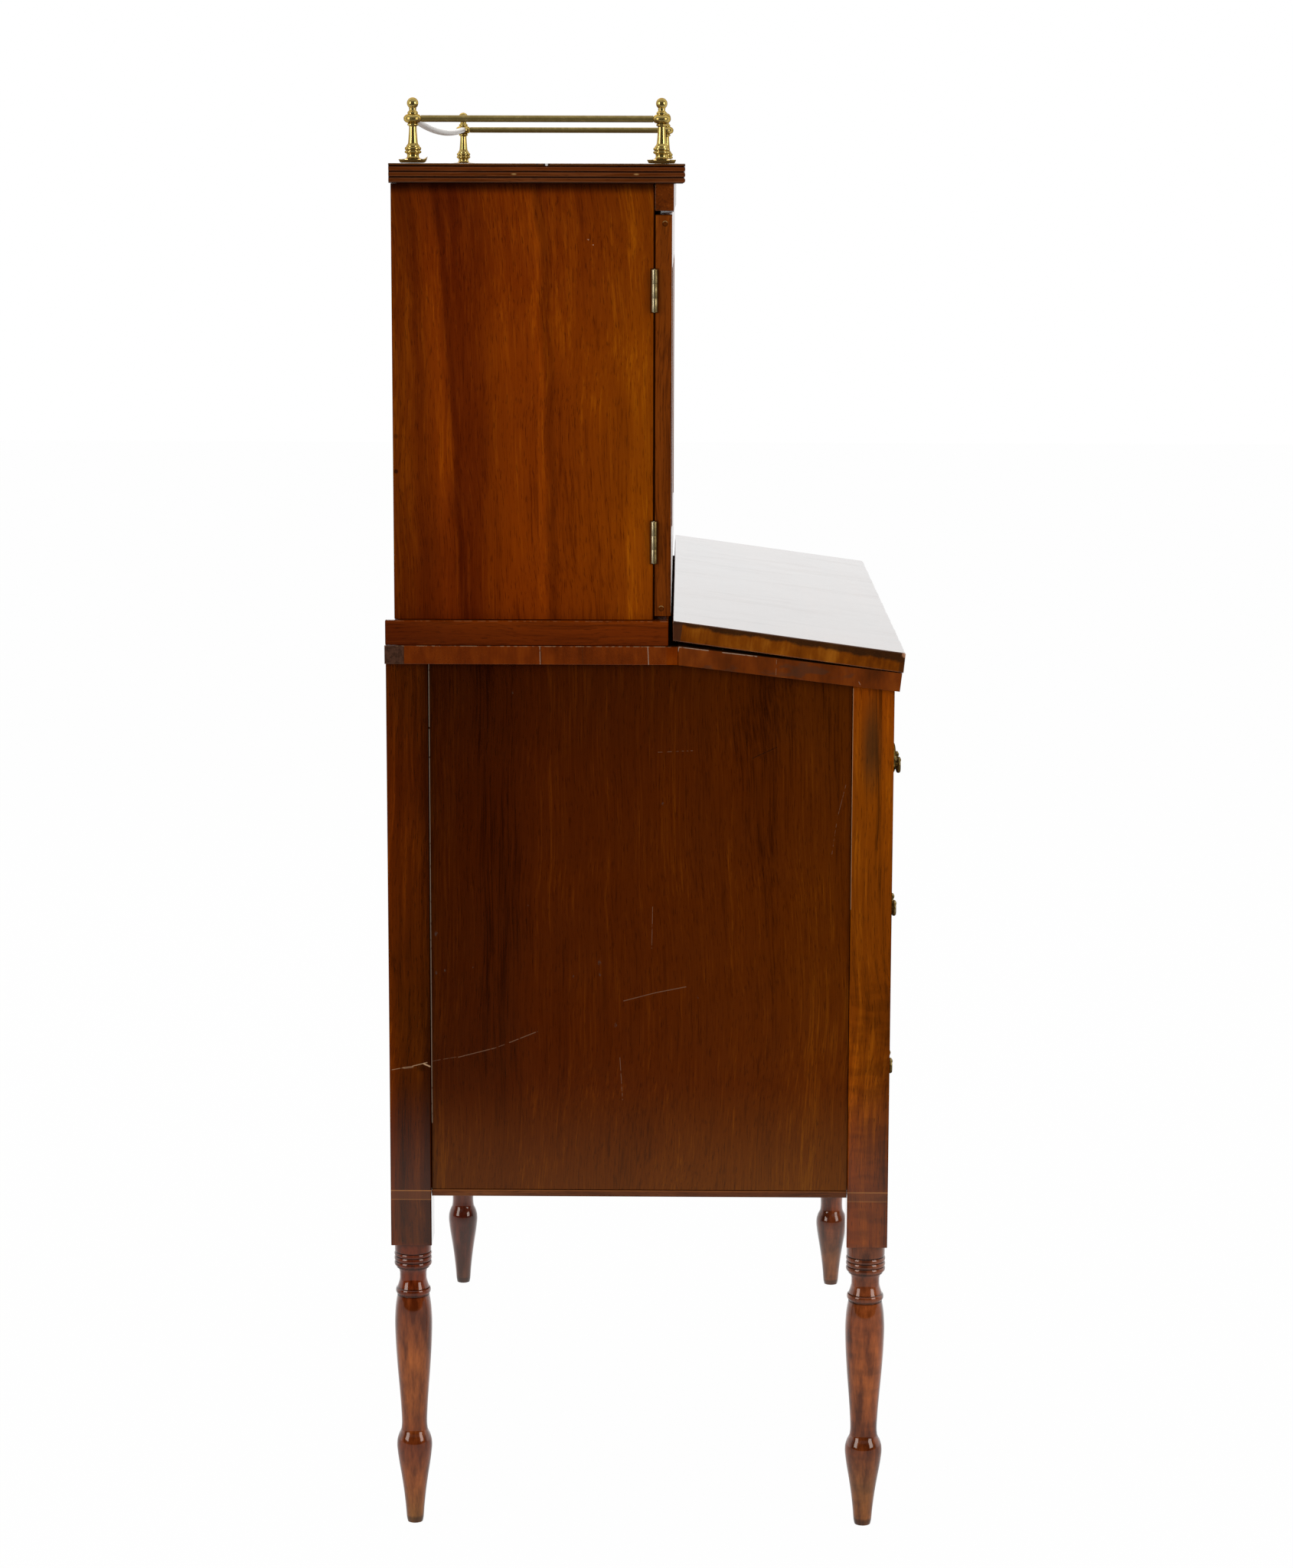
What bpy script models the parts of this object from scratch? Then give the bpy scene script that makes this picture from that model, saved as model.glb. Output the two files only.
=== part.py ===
"""Small writing desk of the early 1800s, seen with its front towards -Y.

A case with three drawers stands on four turned legs. A writing flap folds forward on to two
lopers, pull-out slides beside the top drawer. Behind it stands a cabinet with two doors, a
reeded cornice and a brass gallery. Lengths are in metres and Z points up. The origin lies on
the floor, in the middle of the desk's width and depth.
"""
import math

import bmesh
import bpy
from mathutils import Matrix, Vector

# Fits between pieces
SEAT = 0.0003
SLIDE_GAP = 0.0010
CUT_OVERRUN = 0.0020

# Case: posts, panels and rails
CASE_WIDTH = 0.798
CASE_DEPTH = 0.464
CASE_UNDERSIDE = 0.325
LEG_SQUARE = 0.038
TURNING_TOP = 0.277
PANEL_THICK = 0.016
PANEL_RECESS = 0.0025
BACK_THICK = 0.012
BACK_RECESS = 0.007
BOTTOM_BOARD_THICK = 0.006
BOTTOM_BOARD_PROUD = 0.0010
BOTTOM_RAIL_HEIGHT = 0.031
RAIL_THICK = 0.0195
TOP_RAIL_DEPTH = 0.022

# Case top and sloping writing bed
TOP_HEIGHT = 0.8438
TOP_THICK = 0.017
TOP_SIDE_OVERHANG = 0.005
TOP_BACK_OVERHANG = 0.0007
BEND_STANDOFF = 0.0225
BED_NOSE = 0.0063
BED_SLOPE = math.radians(6.7)

# Folding writing flap and its hinges
FLAP_THICK = 0.0185
FLAP_SLOPE = math.radians(7.8)
FLAP_BACK_LAP = 0.005
FLAP_NOSE = 0.0012
FLAP_AXIS_REACH = 0.0012
FLAP_HINGE_LENGTH = 0.050
FLAP_HINGE_LEAF = 0.016
FLAP_KNUCKLE_RADIUS = 0.0022
FLAP_HINGE_INSET = 0.104

# Drawers, from the floor up
LOWER_DRAWER_HEIGHT = 0.144
MIDDLE_DRAWER_HEIGHT = 0.124
UPPER_DRAWER_HEIGHT = 0.112
LOWER_DRAWER_SETBACK = 0.0040
MIDDLE_DRAWER_SETBACK = 0.0024
DRAWER_FRONT_THICK = 0.020
DRAWER_SIDE_THICK = 0.009
DRAWER_BOTTOM_THICK = 0.006
DRAWER_BOTTOM_RISE = 0.006
DRAWER_SIDE_DROP = 0.014
DRAWER_BACK_DROP = 0.010
DRAWER_BACK_SPACE = 0.0497
BEAD_WIDTH = 0.003
BEAD_PROUD = 0.0012

# Runners, partitions and lopers
RUNNER_WIDTH = 0.040
RUNNER_THICK = 0.014
GUIDE_HEIGHT = 0.020
UPPER_RUNNER_WIDTH = 0.080
FRAME_TENON = 0.004
FRAME_BACK_DEPTH = 0.050
PARTITION_THICK = 0.012
LOPER_THICK = 0.020
LOPER_SIDE_GAP = 0.0006
LOPER_TOP_GAP = 0.0006
LOPER_HEIGHT = 0.116
LOPER_BACK_SPACE = 0.102

# Drawer brasses
PLATE_WIDTH = 0.052
PLATE_HEIGHT = 0.041
PLATE_THICK = 0.0082
HANDLE_INSET = 0.075
HANDLE_RAISE = 0.005
POST_SPACING = 0.034
POST_RADIUS = 0.0033
POST_REACH = 0.0125
POST_BORE_RADIUS = 0.0018
BAIL_AXIS_REACH = 0.0103
BAIL_RADIUS = 0.0020
BAIL_PIN_RADIUS = 0.0013
BAIL_WIDTH = 0.046
BAIL_DROP = 0.0115

# Cabinet on its plinth
PLINTH_THICK = 0.0226
PLINTH_OVERHANG = 0.004
PLINTH_SETBACK = 0.0091
CABINET_INSET = 0.004
CABINET_BACK_INSET = 0.008
CABINET_HEIGHT = 0.392
CABINET_DEPTH = 0.236
CABINET_SIDE_THICK = 0.014
CABINET_BACK_THICK = 0.010
CABINET_BACK_SETBACK = 0.002
CABINET_RAIL_HEIGHT = 0.024
CABINET_RAIL_THICK = 0.017
SHELF_RISE = 0.195
SHELF_THICK = 0.009
SHELF_SETBACK = 0.013
PIGEONHOLE_PARTITION = 0.008

# Cabinet doors and their hinges
DOOR_THICK = 0.0154
DOOR_TOP_GAP = 0.0033
DOOR_BOTTOM_GAP = 0.0036
DOOR_MEETING_GAP = 0.0010
DOOR_STILE = 0.045
DOOR_RAIL = 0.050
DOOR_PANEL_THICK = 0.008
DOOR_PANEL_SETBACK = 0.003
DOOR_HINGE_LENGTH = 0.038
DOOR_HINGE_LEAF = 0.017
DOOR_HINGE_INSET = 0.0675
DOOR_KNUCKLE_RADIUS = 0.0026
DOOR_KNUCKLE_PROUD = 0.0003
HINGE_LEAF_THICK = 0.0010
HINGE_BORE_RADIUS = 0.00115
HINGE_PIN_RADIUS = 0.0008
HINGE_TAB_BITE = 0.0015

# Cornice and gallery
CORNICE_THICK = 0.0173
CORNICE_OVERHANG = 0.008
CORNICE_NOSE = 0.0099
CORNICE_BACK_LAP = 0.0012
CORNICE_FILLET = 0.0014
REED_DEPTH = 0.0013
GALLERY_SIDE_INSET = 0.028
GALLERY_BACK_INSET = 0.019
GALLERY_FRONT_INSET = 0.0213
GALLERY_HEIGHT = 0.0579
GALLERY_FLANGE_RADIUS = 0.013
GALLERY_ROD_HEIGHT = 0.0391
GALLERY_KNOB_RADIUS = 0.0083
GALLERY_ROD_RADIUS = 0.003
GALLERY_BACK_BOW = 0.007

# Counts
LEG_SIDES = 16
POST_SIDES = 12
BRASS_SIDES = 10
REEDS = 4
PIGEONHOLES = 4
REED_STEPS = 3
ROD_STEPS = 14

# Turned leg below its square: height as a share of TURNING_TOP, radius as a share of half
# the square
LEG_TURNING_SHARES = (
    (0.000, 0.39), (0.014, 0.43), (0.052, 0.46), (0.105, 0.55), (0.160, 0.66),
    (0.213, 0.79), (0.243, 0.85), (0.270, 0.875), (0.290, 0.84), (0.304, 0.77),
    (0.322, 0.65), (0.350, 0.625), (0.402, 0.66), (0.460, 0.72), (0.570, 0.84),
    (0.650, 0.91), (0.705, 0.93), (0.760, 0.88), (0.812, 0.79), (0.824, 0.86),
    (0.836, 0.80), (0.862, 0.68), (0.888, 0.665), (0.905, 0.75), (0.915, 0.90),
    (0.924, 0.93), (0.932, 0.88), (0.941, 0.93), (0.950, 0.88), (0.958, 0.92),
    (0.967, 0.905),
)

# Gallery post: height as a share of GALLERY_HEIGHT, radius as a share of the flange's radius
GALLERY_POST_SHARES = (
    (0.000, 0.90), (0.045, 1.00), (0.070, 0.55), (0.090, 0.41), (0.135, 0.42),
    (0.165, 0.58), (0.190, 0.48), (0.222, 0.57), (0.260, 0.43), (0.330, 0.33),
    (0.545, 0.255), (0.575, 0.37), (0.605, 0.34), (0.635, 0.56), (0.675, 0.638),
    (0.715, 0.56), (0.750, 0.36), (0.775, 0.36), (0.812, 0.24), (0.850, 0.34),
    (0.910, 0.39), (0.965, 0.29),
)

# Half of a bail: place along its half width, drop as a share of BAIL_DROP
BAIL_SHARES = ((0.57, 0.0), (0.915, 0.0), (1.00, 0.22), (0.95, 0.58), (0.74, 0.87), (0.40, 0.98))

# Colour and roughness of the woods and metals
WOODS = {
    "mahogany_case": ((0.200, 0.055, 0.022, 1.0), 0.30),
    "mahogany_warm": ((0.330, 0.095, 0.028, 1.0), 0.30),
    "mahogany_edge": ((0.300, 0.100, 0.035, 1.0), 0.35),
    "mahogany_leg": ((0.230, 0.060, 0.024, 1.0), 0.22),
    "secondary_pine": ((0.480, 0.300, 0.150, 1.0), 0.65),
}
METALS = {
    "gallery_brass": ((0.700, 0.500, 0.180, 1.0), 0.25),
    "aged_brass": ((0.380, 0.280, 0.130, 1.0), 0.45),
}

# Places that several pieces share
TOTAL_DEPTH = POST_REACH + CASE_DEPTH + TOP_BACK_OVERHANG
FRONT_Y = POST_REACH - TOTAL_DEPTH / 2
BACK_Y = FRONT_Y + CASE_DEPTH
SIDE_X = CASE_WIDTH / 2
POST_INNER_X = SIDE_X - LEG_SQUARE
POST_FRONT_Y = FRONT_Y + LEG_SQUARE
POST_BACK_Y = BACK_Y - LEG_SQUARE
PANEL_INNER_X = SIDE_X - PANEL_RECESS - PANEL_THICK
PANEL_BACK_Y = BACK_Y - BACK_RECESS - BACK_THICK
LOWER_LEVEL = CASE_UNDERSIDE + BOTTOM_RAIL_HEIGHT
MIDDLE_LEVEL = LOWER_LEVEL + LOWER_DRAWER_HEIGHT + RAIL_THICK
UPPER_LEVEL = MIDDLE_LEVEL + MIDDLE_DRAWER_HEIGHT + RAIL_THICK
FLAP_HINGE_X = SIDE_X + TOP_SIDE_OVERHANG - FLAP_HINGE_INSET
HANDLE_X = POST_INNER_X - HANDLE_INSET
LOPER_SLOT = LOPER_THICK + LOPER_SIDE_GAP + LOPER_SIDE_GAP
PARTITION_OUTER_X = POST_INNER_X - LOPER_SLOT
PARTITION_INNER_X = PARTITION_OUTER_X - PARTITION_THICK
PLINTH_BASE = TOP_HEIGHT + SEAT
PLINTH_TOP = PLINTH_BASE + PLINTH_THICK
CABINET_X = SIDE_X - CABINET_INSET
CABINET_INNER_X = CABINET_X - CABINET_SIDE_THICK
CABINET_BACK_Y = BACK_Y - CABINET_BACK_INSET
CABINET_FRONT_Y = CABINET_BACK_Y - CABINET_DEPTH
BEND_Y = CABINET_FRONT_Y - BEND_STANDOFF
PLINTH_FRONT_Y = BEND_Y + PLINTH_SETBACK
CABINET_TOP = PLINTH_TOP + CABINET_HEIGHT
CABINET_RAIL_BASE = CABINET_TOP - CABINET_RAIL_HEIGHT
CABINET_RAIL_FRONT_Y = CABINET_FRONT_Y - SEAT - CABINET_RAIL_THICK
CABINET_BACK_BOARD_Y = CABINET_BACK_Y - CABINET_BACK_SETBACK - CABINET_BACK_THICK
DOOR_BACK_Y = CABINET_FRONT_Y - SEAT
DOOR_FRONT_Y = DOOR_BACK_Y - DOOR_THICK
DOOR_BASE = PLINTH_TOP + DOOR_BOTTOM_GAP
DOOR_TOP = CABINET_RAIL_BASE - DOOR_TOP_GAP
DOOR_AXIS_X = CABINET_X + DOOR_KNUCKLE_RADIUS + DOOR_KNUCKLE_PROUD
DOOR_AXIS_Y = (CABINET_FRONT_Y + DOOR_BACK_Y) / 2
CORNICE_TOP = CABINET_TOP + SEAT + CORNICE_THICK
CORNICE_X = CABINET_X + CORNICE_OVERHANG
CORNICE_FRONT_Y = CABINET_RAIL_FRONT_Y - CORNICE_NOSE
CORNICE_BACK_Y = CABINET_BACK_Y + CORNICE_BACK_LAP
GALLERY_X = CORNICE_X - GALLERY_SIDE_INSET
GALLERY_BACK_Y = CABINET_BACK_Y - GALLERY_BACK_INSET
GALLERY_FRONT_Y = CORNICE_FRONT_Y + GALLERY_FRONT_INSET
GALLERY_ROD_Z = CORNICE_TOP + SEAT + GALLERY_ROD_HEIGHT

# The bed's own directions: down the slope towards the sitter, and square out of the bed
DOWN_SLOPE = Vector((0.0, -math.cos(BED_SLOPE), -math.sin(BED_SLOPE)))
OUT_OF_BED = Vector((0.0, -math.sin(BED_SLOPE), math.cos(BED_SLOPE)))


def bed_height(y):
    """Upper face of the bed's plane at y, also past the bend where only the lopers use it."""
    return TOP_HEIGHT + (y - BEND_Y) * math.tan(BED_SLOPE)


def bed_underside(y):
    """Underside of the case top at y: sloping before the bend, level behind it."""
    sloping = bed_height(y) - TOP_THICK / math.cos(BED_SLOPE)
    return min(sloping, TOP_HEIGHT - TOP_THICK)


BED_CORNER = Vector((0.0, FRONT_Y - BED_NOSE, bed_height(FRONT_Y - BED_NOSE)))
FLAP_AXIS = BED_CORNER + DOWN_SLOPE * FLAP_AXIS_REACH + OUT_OF_BED * (SEAT / 2)


# Scene, objects and materials

def clear_scene():
    """Take out whatever the file held before."""
    for item in list(bpy.data.objects):
        bpy.data.objects.remove(item, do_unlink=True)


def make_material(name, colour, roughness, metallic):
    """One Principled material."""
    material = bpy.data.materials.new(name)
    material.use_nodes = True
    shader = material.node_tree.nodes["Principled BSDF"]
    shader.inputs["Base Color"].default_value = colour
    shader.inputs["Roughness"].default_value = roughness
    shader.inputs["Metallic"].default_value = metallic
    material.diffuse_color = colour
    return material


def make_pivot(name, place):
    """An empty on a joint's axis, which the moving pieces hang from."""
    pivot = bpy.data.objects.new(name, None)
    pivot.location = place
    bpy.context.collection.objects.link(pivot)
    return pivot


def make_object(name, solid, material, pivot=None, smooth=False, base=None):
    """Turn a bmesh in world space into a named object: its origin is its joint or its middle."""
    low = Vector([min(v.co[i] for v in solid.verts) for i in range(3)])
    high = Vector([max(v.co[i] for v in solid.verts) for i in range(3)])
    middle = (low + high) / 2
    if pivot:
        origin = base or Vector(pivot.location)
    else:
        origin = middle
    bmesh.ops.translate(solid, verts=solid.verts, vec=-origin)
    bmesh.ops.recalc_face_normals(solid, faces=solid.faces)
    mesh = bpy.data.meshes.new(name)
    solid.to_mesh(mesh)
    solid.free()
    mesh.materials.append(material)
    if smooth:
        mesh.shade_smooth()
        mesh.set_sharp_from_angle(angle=math.radians(35.0))
    thing = bpy.data.objects.new(name, mesh)
    thing.parent = pivot
    thing.location = Vector((0.0, 0.0, 0.0)) if pivot else origin
    bpy.context.collection.objects.link(thing)
    return thing


# Solids

def add_loft(solid, rings):
    """Skin a list of equal rings of points and close both ends."""
    loops = [[solid.verts.new(point) for point in ring] for ring in rings]
    for lower, upper in zip(loops, loops[1:]):
        for i, vert in enumerate(lower):
            j = (i + 1) % len(lower)
            solid.faces.new((vert, lower[j], upper[j], upper[i]))
    solid.faces.new(list(reversed(loops[0])))
    solid.faces.new(loops[-1])


def add_board(solid, low, high):
    """A square-edged board between two corners."""
    (x0, y0, z0), (x1, y1, z1) = low, high
    outline = ((x0, y0), (x1, y0), (x1, y1), (x0, y1))
    add_loft(solid, [[(x, y, z) for x, y in outline] for z in (z0, z1)])


def add_side_cut_board(solid, x0, x1, outline):
    """A board whose outline is cut in the side view, as (y, z) points."""
    add_loft(solid, [[(x, y, z) for y, z in outline] for x in (x0, x1)])


def add_front_cut_board(solid, y0, y1, outline):
    """A board whose outline is cut in the front view, as (x, z) points."""
    add_loft(solid, [[(x, y, z) for x, z in outline] for y in (y0, y1)])


def board(low, high):
    """A new solid that holds one board."""
    solid = bmesh.new()
    add_board(solid, low, high)
    return solid


def add_cylinder(solid, start, end, radius, sides):
    """A round bar from start to end."""
    along = Vector(end) - Vector(start)
    turn = along.to_track_quat("Z", "Y").to_matrix()
    rings = []
    for centre in (Vector(start), Vector(end)):
        ring = []
        for i in range(sides):
            angle = math.tau * (i + 0.5) / sides
            ring.append(centre + turn @ Vector((math.cos(angle), math.sin(angle), 0.0)) * radius)
        rings.append(ring)
    add_loft(solid, rings)


def circle(centre, radius, sides):
    """A level ring of points."""
    x, y, z = centre
    angles = [math.tau * i / sides for i in range(sides)]
    return [(x + radius * math.cos(a), y + radius * math.sin(a), z) for a in angles]


def combine(solid, tool, operation):
    """Boolean of two solids, which returns the result and uses both up."""
    objects = []
    for part in (solid, tool):
        bmesh.ops.recalc_face_normals(part, faces=part.faces)
        mesh = bpy.data.meshes.new("combine")
        part.to_mesh(mesh)
        part.free()
        thing = bpy.data.objects.new("combine", mesh)
        bpy.context.collection.objects.link(thing)
        objects.append(thing)
    modifier = objects[0].modifiers.new("combine", "BOOLEAN")
    modifier.operation = operation
    modifier.solver = "EXACT"
    modifier.object = objects[1]
    bpy.context.view_layer.update()
    graph = bpy.context.evaluated_depsgraph_get()
    result = bmesh.new()
    result.from_mesh(objects[0].evaluated_get(graph).to_mesh())
    for thing in objects:
        mesh = thing.data
        bpy.data.objects.remove(thing, do_unlink=True)
        bpy.data.meshes.remove(mesh)
    return result


# Case

def make_leg(name, x_sign, y, material, sloped_top):
    """A post of the case that goes on below it as a turned leg."""
    x = x_sign * (SIDE_X - LEG_SQUARE / 2)
    half = LEG_SQUARE / 2
    rings = []
    for height, radius in LEG_TURNING_SHARES:
        rings.append(circle((x, y, height * TURNING_TOP), radius * half, LEG_SIDES))
    rings.append(circle((x, y, TURNING_TOP), LEG_TURNING_SHARES[-1][1] * half, LEG_SIDES))
    for top in (False, True):
        ring = []
        for i in range(LEG_SIDES):
            angle = math.tau * i / LEG_SIDES
            reach = half / max(abs(math.cos(angle)), abs(math.sin(angle)))
            px, py = x + reach * math.cos(angle), y + reach * math.sin(angle)
            level = TOP_HEIGHT - TOP_THICK - SEAT
            if sloped_top:
                level = bed_underside(py) - SEAT
            ring.append((px, py, level if top else TURNING_TOP))
        rings.append(ring)
    solid = bmesh.new()
    add_loft(solid, rings)
    make_object(name, solid, material, smooth=True)


def make_case_panels(case_wood, hidden_wood):
    """Side panels between the posts, and the back panel."""
    base = CASE_UNDERSIDE + BOTTOM_BOARD_THICK + SEAT
    front, back = POST_FRONT_Y + SEAT, POST_BACK_Y - SEAT
    outline = (
        (front, base),
        (back, base),
        (back, bed_underside(back) - SEAT),
        (BEND_Y, bed_underside(BEND_Y) - SEAT),
        (front, bed_underside(front) - SEAT),
    )
    outer = SIDE_X - PANEL_RECESS
    for name, sign in (("side_panel_left", -1), ("side_panel_right", 1)):
        solid = bmesh.new()
        add_side_cut_board(solid, sign * PANEL_INNER_X, sign * outer, outline)
        make_object(name, solid, case_wood)

    top = TOP_HEIGHT - TOP_THICK - SEAT
    reach = POST_INNER_X - SEAT
    low = (-reach, PANEL_BACK_Y, CASE_UNDERSIDE)
    high = (reach, PANEL_BACK_Y + BACK_THICK, top)
    make_object("back_panel", board(low, high), hidden_wood)


def runner_outline(level):
    """Runner with the guide beside the drawer, as the front view of the right-hand one."""
    outer = PANEL_INNER_X - SEAT
    inner = outer - RUNNER_WIDTH
    guide = POST_INNER_X + SEAT
    return (
        (inner, level - RUNNER_THICK), (outer, level - RUNNER_THICK),
        (outer, level + GUIDE_HEIGHT), (guide, level + GUIDE_HEIGHT),
        (guide, level - SEAT), (inner, level - SEAT),
    )


def make_case_bottom(case_wood):
    """Board under the lowest drawer with the front rail and two runners glued on it."""
    front, back = POST_FRONT_Y + SEAT, POST_BACK_Y - SEAT
    reach = POST_INNER_X - SEAT
    wide = SIDE_X - PANEL_RECESS + BOTTOM_BOARD_PROUD
    tongue = PANEL_BACK_Y - SEAT
    plan = (
        (-wide, front), (-reach, front), (-reach, FRONT_Y), (reach, FRONT_Y),
        (reach, front), (wide, front), (wide, back), (reach, back),
        (reach, tongue), (-reach, tongue), (-reach, back), (-wide, back),
    )
    board_top = CASE_UNDERSIDE + BOTTOM_BOARD_THICK
    solid = bmesh.new()
    add_loft(solid, [[(x, y, z) for x, y in plan] for z in (CASE_UNDERSIDE, board_top)])
    sunk = board_top - BOTTOM_BOARD_THICK / 2
    rail = board((-reach, FRONT_Y, sunk), (reach, POST_FRONT_Y - SEAT, LOWER_LEVEL))
    solid = combine(solid, rail, "UNION")
    for sign in (-1, 1):
        outer = PANEL_INNER_X - SEAT
        inner = outer - RUNNER_WIDTH
        guide = POST_INNER_X + SEAT
        outline = (
            (inner, sunk), (outer, sunk), (outer, LOWER_LEVEL + GUIDE_HEIGHT),
            (guide, LOWER_LEVEL + GUIDE_HEIGHT), (guide, LOWER_LEVEL - SEAT),
            (inner, LOWER_LEVEL - SEAT),
        )
        runner = bmesh.new()
        y0, y1 = front + SEAT, back - SEAT
        add_front_cut_board(runner, y0, y1, [(sign * x, z) for x, z in outline])
        solid = combine(solid, runner, "UNION")
    make_object("case_bottom", solid, case_wood)


def make_dust_frames(case_wood):
    """Frames between the drawers: front rail, a runner at each side and a back member."""
    reach = POST_INNER_X - SEAT
    y0, y1 = POST_FRONT_Y - FRAME_TENON, POST_BACK_Y - SEAT
    for name, level in (("dust_frame_lower", MIDDLE_LEVEL), ("dust_frame_upper", UPPER_LEVEL)):
        low = (-reach, FRONT_Y, level - RAIL_THICK)
        solid = board(low, (reach, POST_FRONT_Y - SEAT, level))
        tie_x = PANEL_INNER_X - SEAT - RUNNER_WIDTH + FRAME_TENON
        tie_z = level - RUNNER_THICK + SEAT
        low = (-tie_x, y1 - FRAME_BACK_DEPTH, tie_z)
        tie = board(low, (tie_x, y1 - SEAT, level - SEAT - SEAT))
        for sign in (-1, 1):
            runner = bmesh.new()
            outline = [(sign * x, z) for x, z in runner_outline(level)]
            if name == "dust_frame_upper":
                outer = PANEL_INNER_X - SEAT
                inner = outer - UPPER_RUNNER_WIDTH
                base, top = level - RUNNER_THICK, level - SEAT
                outline = [(inner, base), (outer, base), (outer, top), (inner, top)]
                outline = [(sign * x, z) for x, z in outline]
            add_front_cut_board(runner, POST_FRONT_Y + SEAT, y1, outline)
            solid = combine(solid, board_link(sign, y0, level), "UNION")
            solid = combine(solid, runner, "UNION")
        solid = combine(solid, tie, "UNION")
        make_object(name, solid, case_wood)


def board_link(sign, y0, level):
    """Tenon that joins a runner to its front rail between the posts."""
    outer = POST_INNER_X - SEAT - FRAME_TENON
    inner = PANEL_INNER_X - RUNNER_WIDTH + FRAME_TENON
    low = (sign * inner, y0, level - RUNNER_THICK + SEAT)
    return board(low, (sign * outer, POST_FRONT_Y + FRAME_TENON, level - SEAT - SEAT))


def make_top_rail(case_wood):
    """Rail over the top drawer, cut to the slope of the bed."""
    base = UPPER_LEVEL + UPPER_DRAWER_HEIGHT
    back = FRONT_Y + TOP_RAIL_DEPTH
    outline = (
        (FRONT_Y, base),
        (back, base),
        (back, bed_underside(back) - SEAT),
        (FRONT_Y, bed_underside(FRONT_Y) - SEAT),
    )
    solid = bmesh.new()
    reach = PARTITION_INNER_X - SEAT
    add_side_cut_board(solid, -reach, reach, outline)
    make_object("top_rail", solid, case_wood)


def make_loper_housings(case_wood):
    """Partition beside the top drawer, with the wedge that bears the loper glued to it."""
    base = UPPER_LEVEL + SEAT
    rear = PANEL_BACK_Y - SEAT
    back = POST_BACK_Y - SEAT
    partition = (
        (FRONT_Y, base),
        (rear, base),
        (rear, bed_underside(rear) - SEAT),
        (BEND_Y, bed_underside(BEND_Y) - SEAT),
        (FRONT_Y, bed_underside(FRONT_Y) - SEAT),
    )
    drop = LOPER_HEIGHT / math.cos(BED_SLOPE) + SEAT
    wedge = (
        (FRONT_Y, base),
        (back, base),
        (back, loper_line(back) - drop),
        (FRONT_Y, loper_line(FRONT_Y) - drop),
    )
    for name, sign in (("loper_housing_left", -1), ("loper_housing_right", 1)):
        solid, bearer = bmesh.new(), bmesh.new()
        add_side_cut_board(solid, sign * PARTITION_INNER_X, sign * PARTITION_OUTER_X, partition)
        inner = PARTITION_OUTER_X - PARTITION_THICK / 2
        add_side_cut_board(bearer, sign * inner, sign * (POST_INNER_X - SEAT), wedge)
        make_object(name, combine(solid, bearer, "UNION"), case_wood)


def loper_line(y):
    """Top edge of a loper at y: just under the open flap."""
    drop = (FLAP_THICK + LOPER_TOP_GAP) / math.cos(BED_SLOPE)
    return bed_height(y) - drop


def make_lopers(case_wood):
    """Two slides that run parallel to the bed and carry the open flap."""
    tail = PANEL_BACK_Y - LOPER_BACK_SPACE
    ceiling = TOP_HEIGHT - TOP_THICK - LOPER_TOP_GAP
    knee = BEND_Y + (ceiling - loper_line(BEND_Y)) / math.tan(BED_SLOPE)
    depth = LOPER_HEIGHT / math.cos(BED_SLOPE)
    outline = (
        (FRONT_Y, loper_line(FRONT_Y) - depth),
        (tail, loper_line(tail) - depth),
        (tail, ceiling),
        (knee, ceiling),
        (FRONT_Y, loper_line(FRONT_Y)),
    )
    inner = PARTITION_OUTER_X + LOPER_SIDE_GAP
    for name, sign in (("loper_left", -1), ("loper_right", 1)):
        pivot = make_pivot("slide_" + name, (sign * inner, FRONT_Y, loper_line(FRONT_Y)))
        solid = bmesh.new()
        add_side_cut_board(solid, sign * inner, sign * (inner + LOPER_THICK), outline)
        make_object(name, solid, case_wood, pivot)


# Hinges, shared by the flap and the doors

def hinge_frame(origin, along, leaf, face):
    """Frame with x along the pin, y from the pin into the leaf, z square out of the leaf."""
    turn = Matrix((along, leaf, face)).transposed().to_4x4()
    return Matrix.Translation(origin) @ turn


def hinge_span(length, share):
    """Ends of one knuckle along the pin, with a gap to its neighbours."""
    first, last = share
    start = first * length + (SEAT if first > 0 else 0.0) - length / 2
    return start, last * length - (SEAT if last < 1 else 0.0) - length / 2


def fixed_leaf(frame, length, width, knuckle):
    """Leaf with the two outer knuckles and the pin that is riveted in them."""
    z0 = SEAT / 2
    z1 = z0 + HINGE_LEAF_THICK
    start = knuckle + SEAT
    half = length / 2
    first, last = [hinge_span(length, share) for share in FIXED_SHARES]
    end = half - SEAT
    tab = first[1] - SEAT
    outline = [
        (-end, HINGE_TAB_BITE), (tab, HINGE_TAB_BITE), (tab, start), (-tab, start),
        (-tab, HINGE_TAB_BITE), (end, HINGE_TAB_BITE), (end, width), (-end, width),
    ]
    solid = bmesh.new()
    add_loft(solid, [[(x, y, z) for x, y in outline] for z in (z0, z1)])
    for a, b in (first, last):
        ring = bmesh.new()
        add_cylinder(ring, (a, 0.0, 0.0), (b, 0.0, 0.0), knuckle, BRASS_SIDES)
        solid = combine(solid, ring, "UNION")
    pin = bmesh.new()
    reach = half - HINGE_TAB_BITE
    add_cylinder(pin, (-reach, 0.0, 0.0), (reach, 0.0, 0.0), HINGE_PIN_RADIUS, BRASS_SIDES)
    solid = combine(solid, pin, "UNION")
    bmesh.ops.transform(solid, matrix=frame, verts=solid.verts)
    return solid


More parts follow.
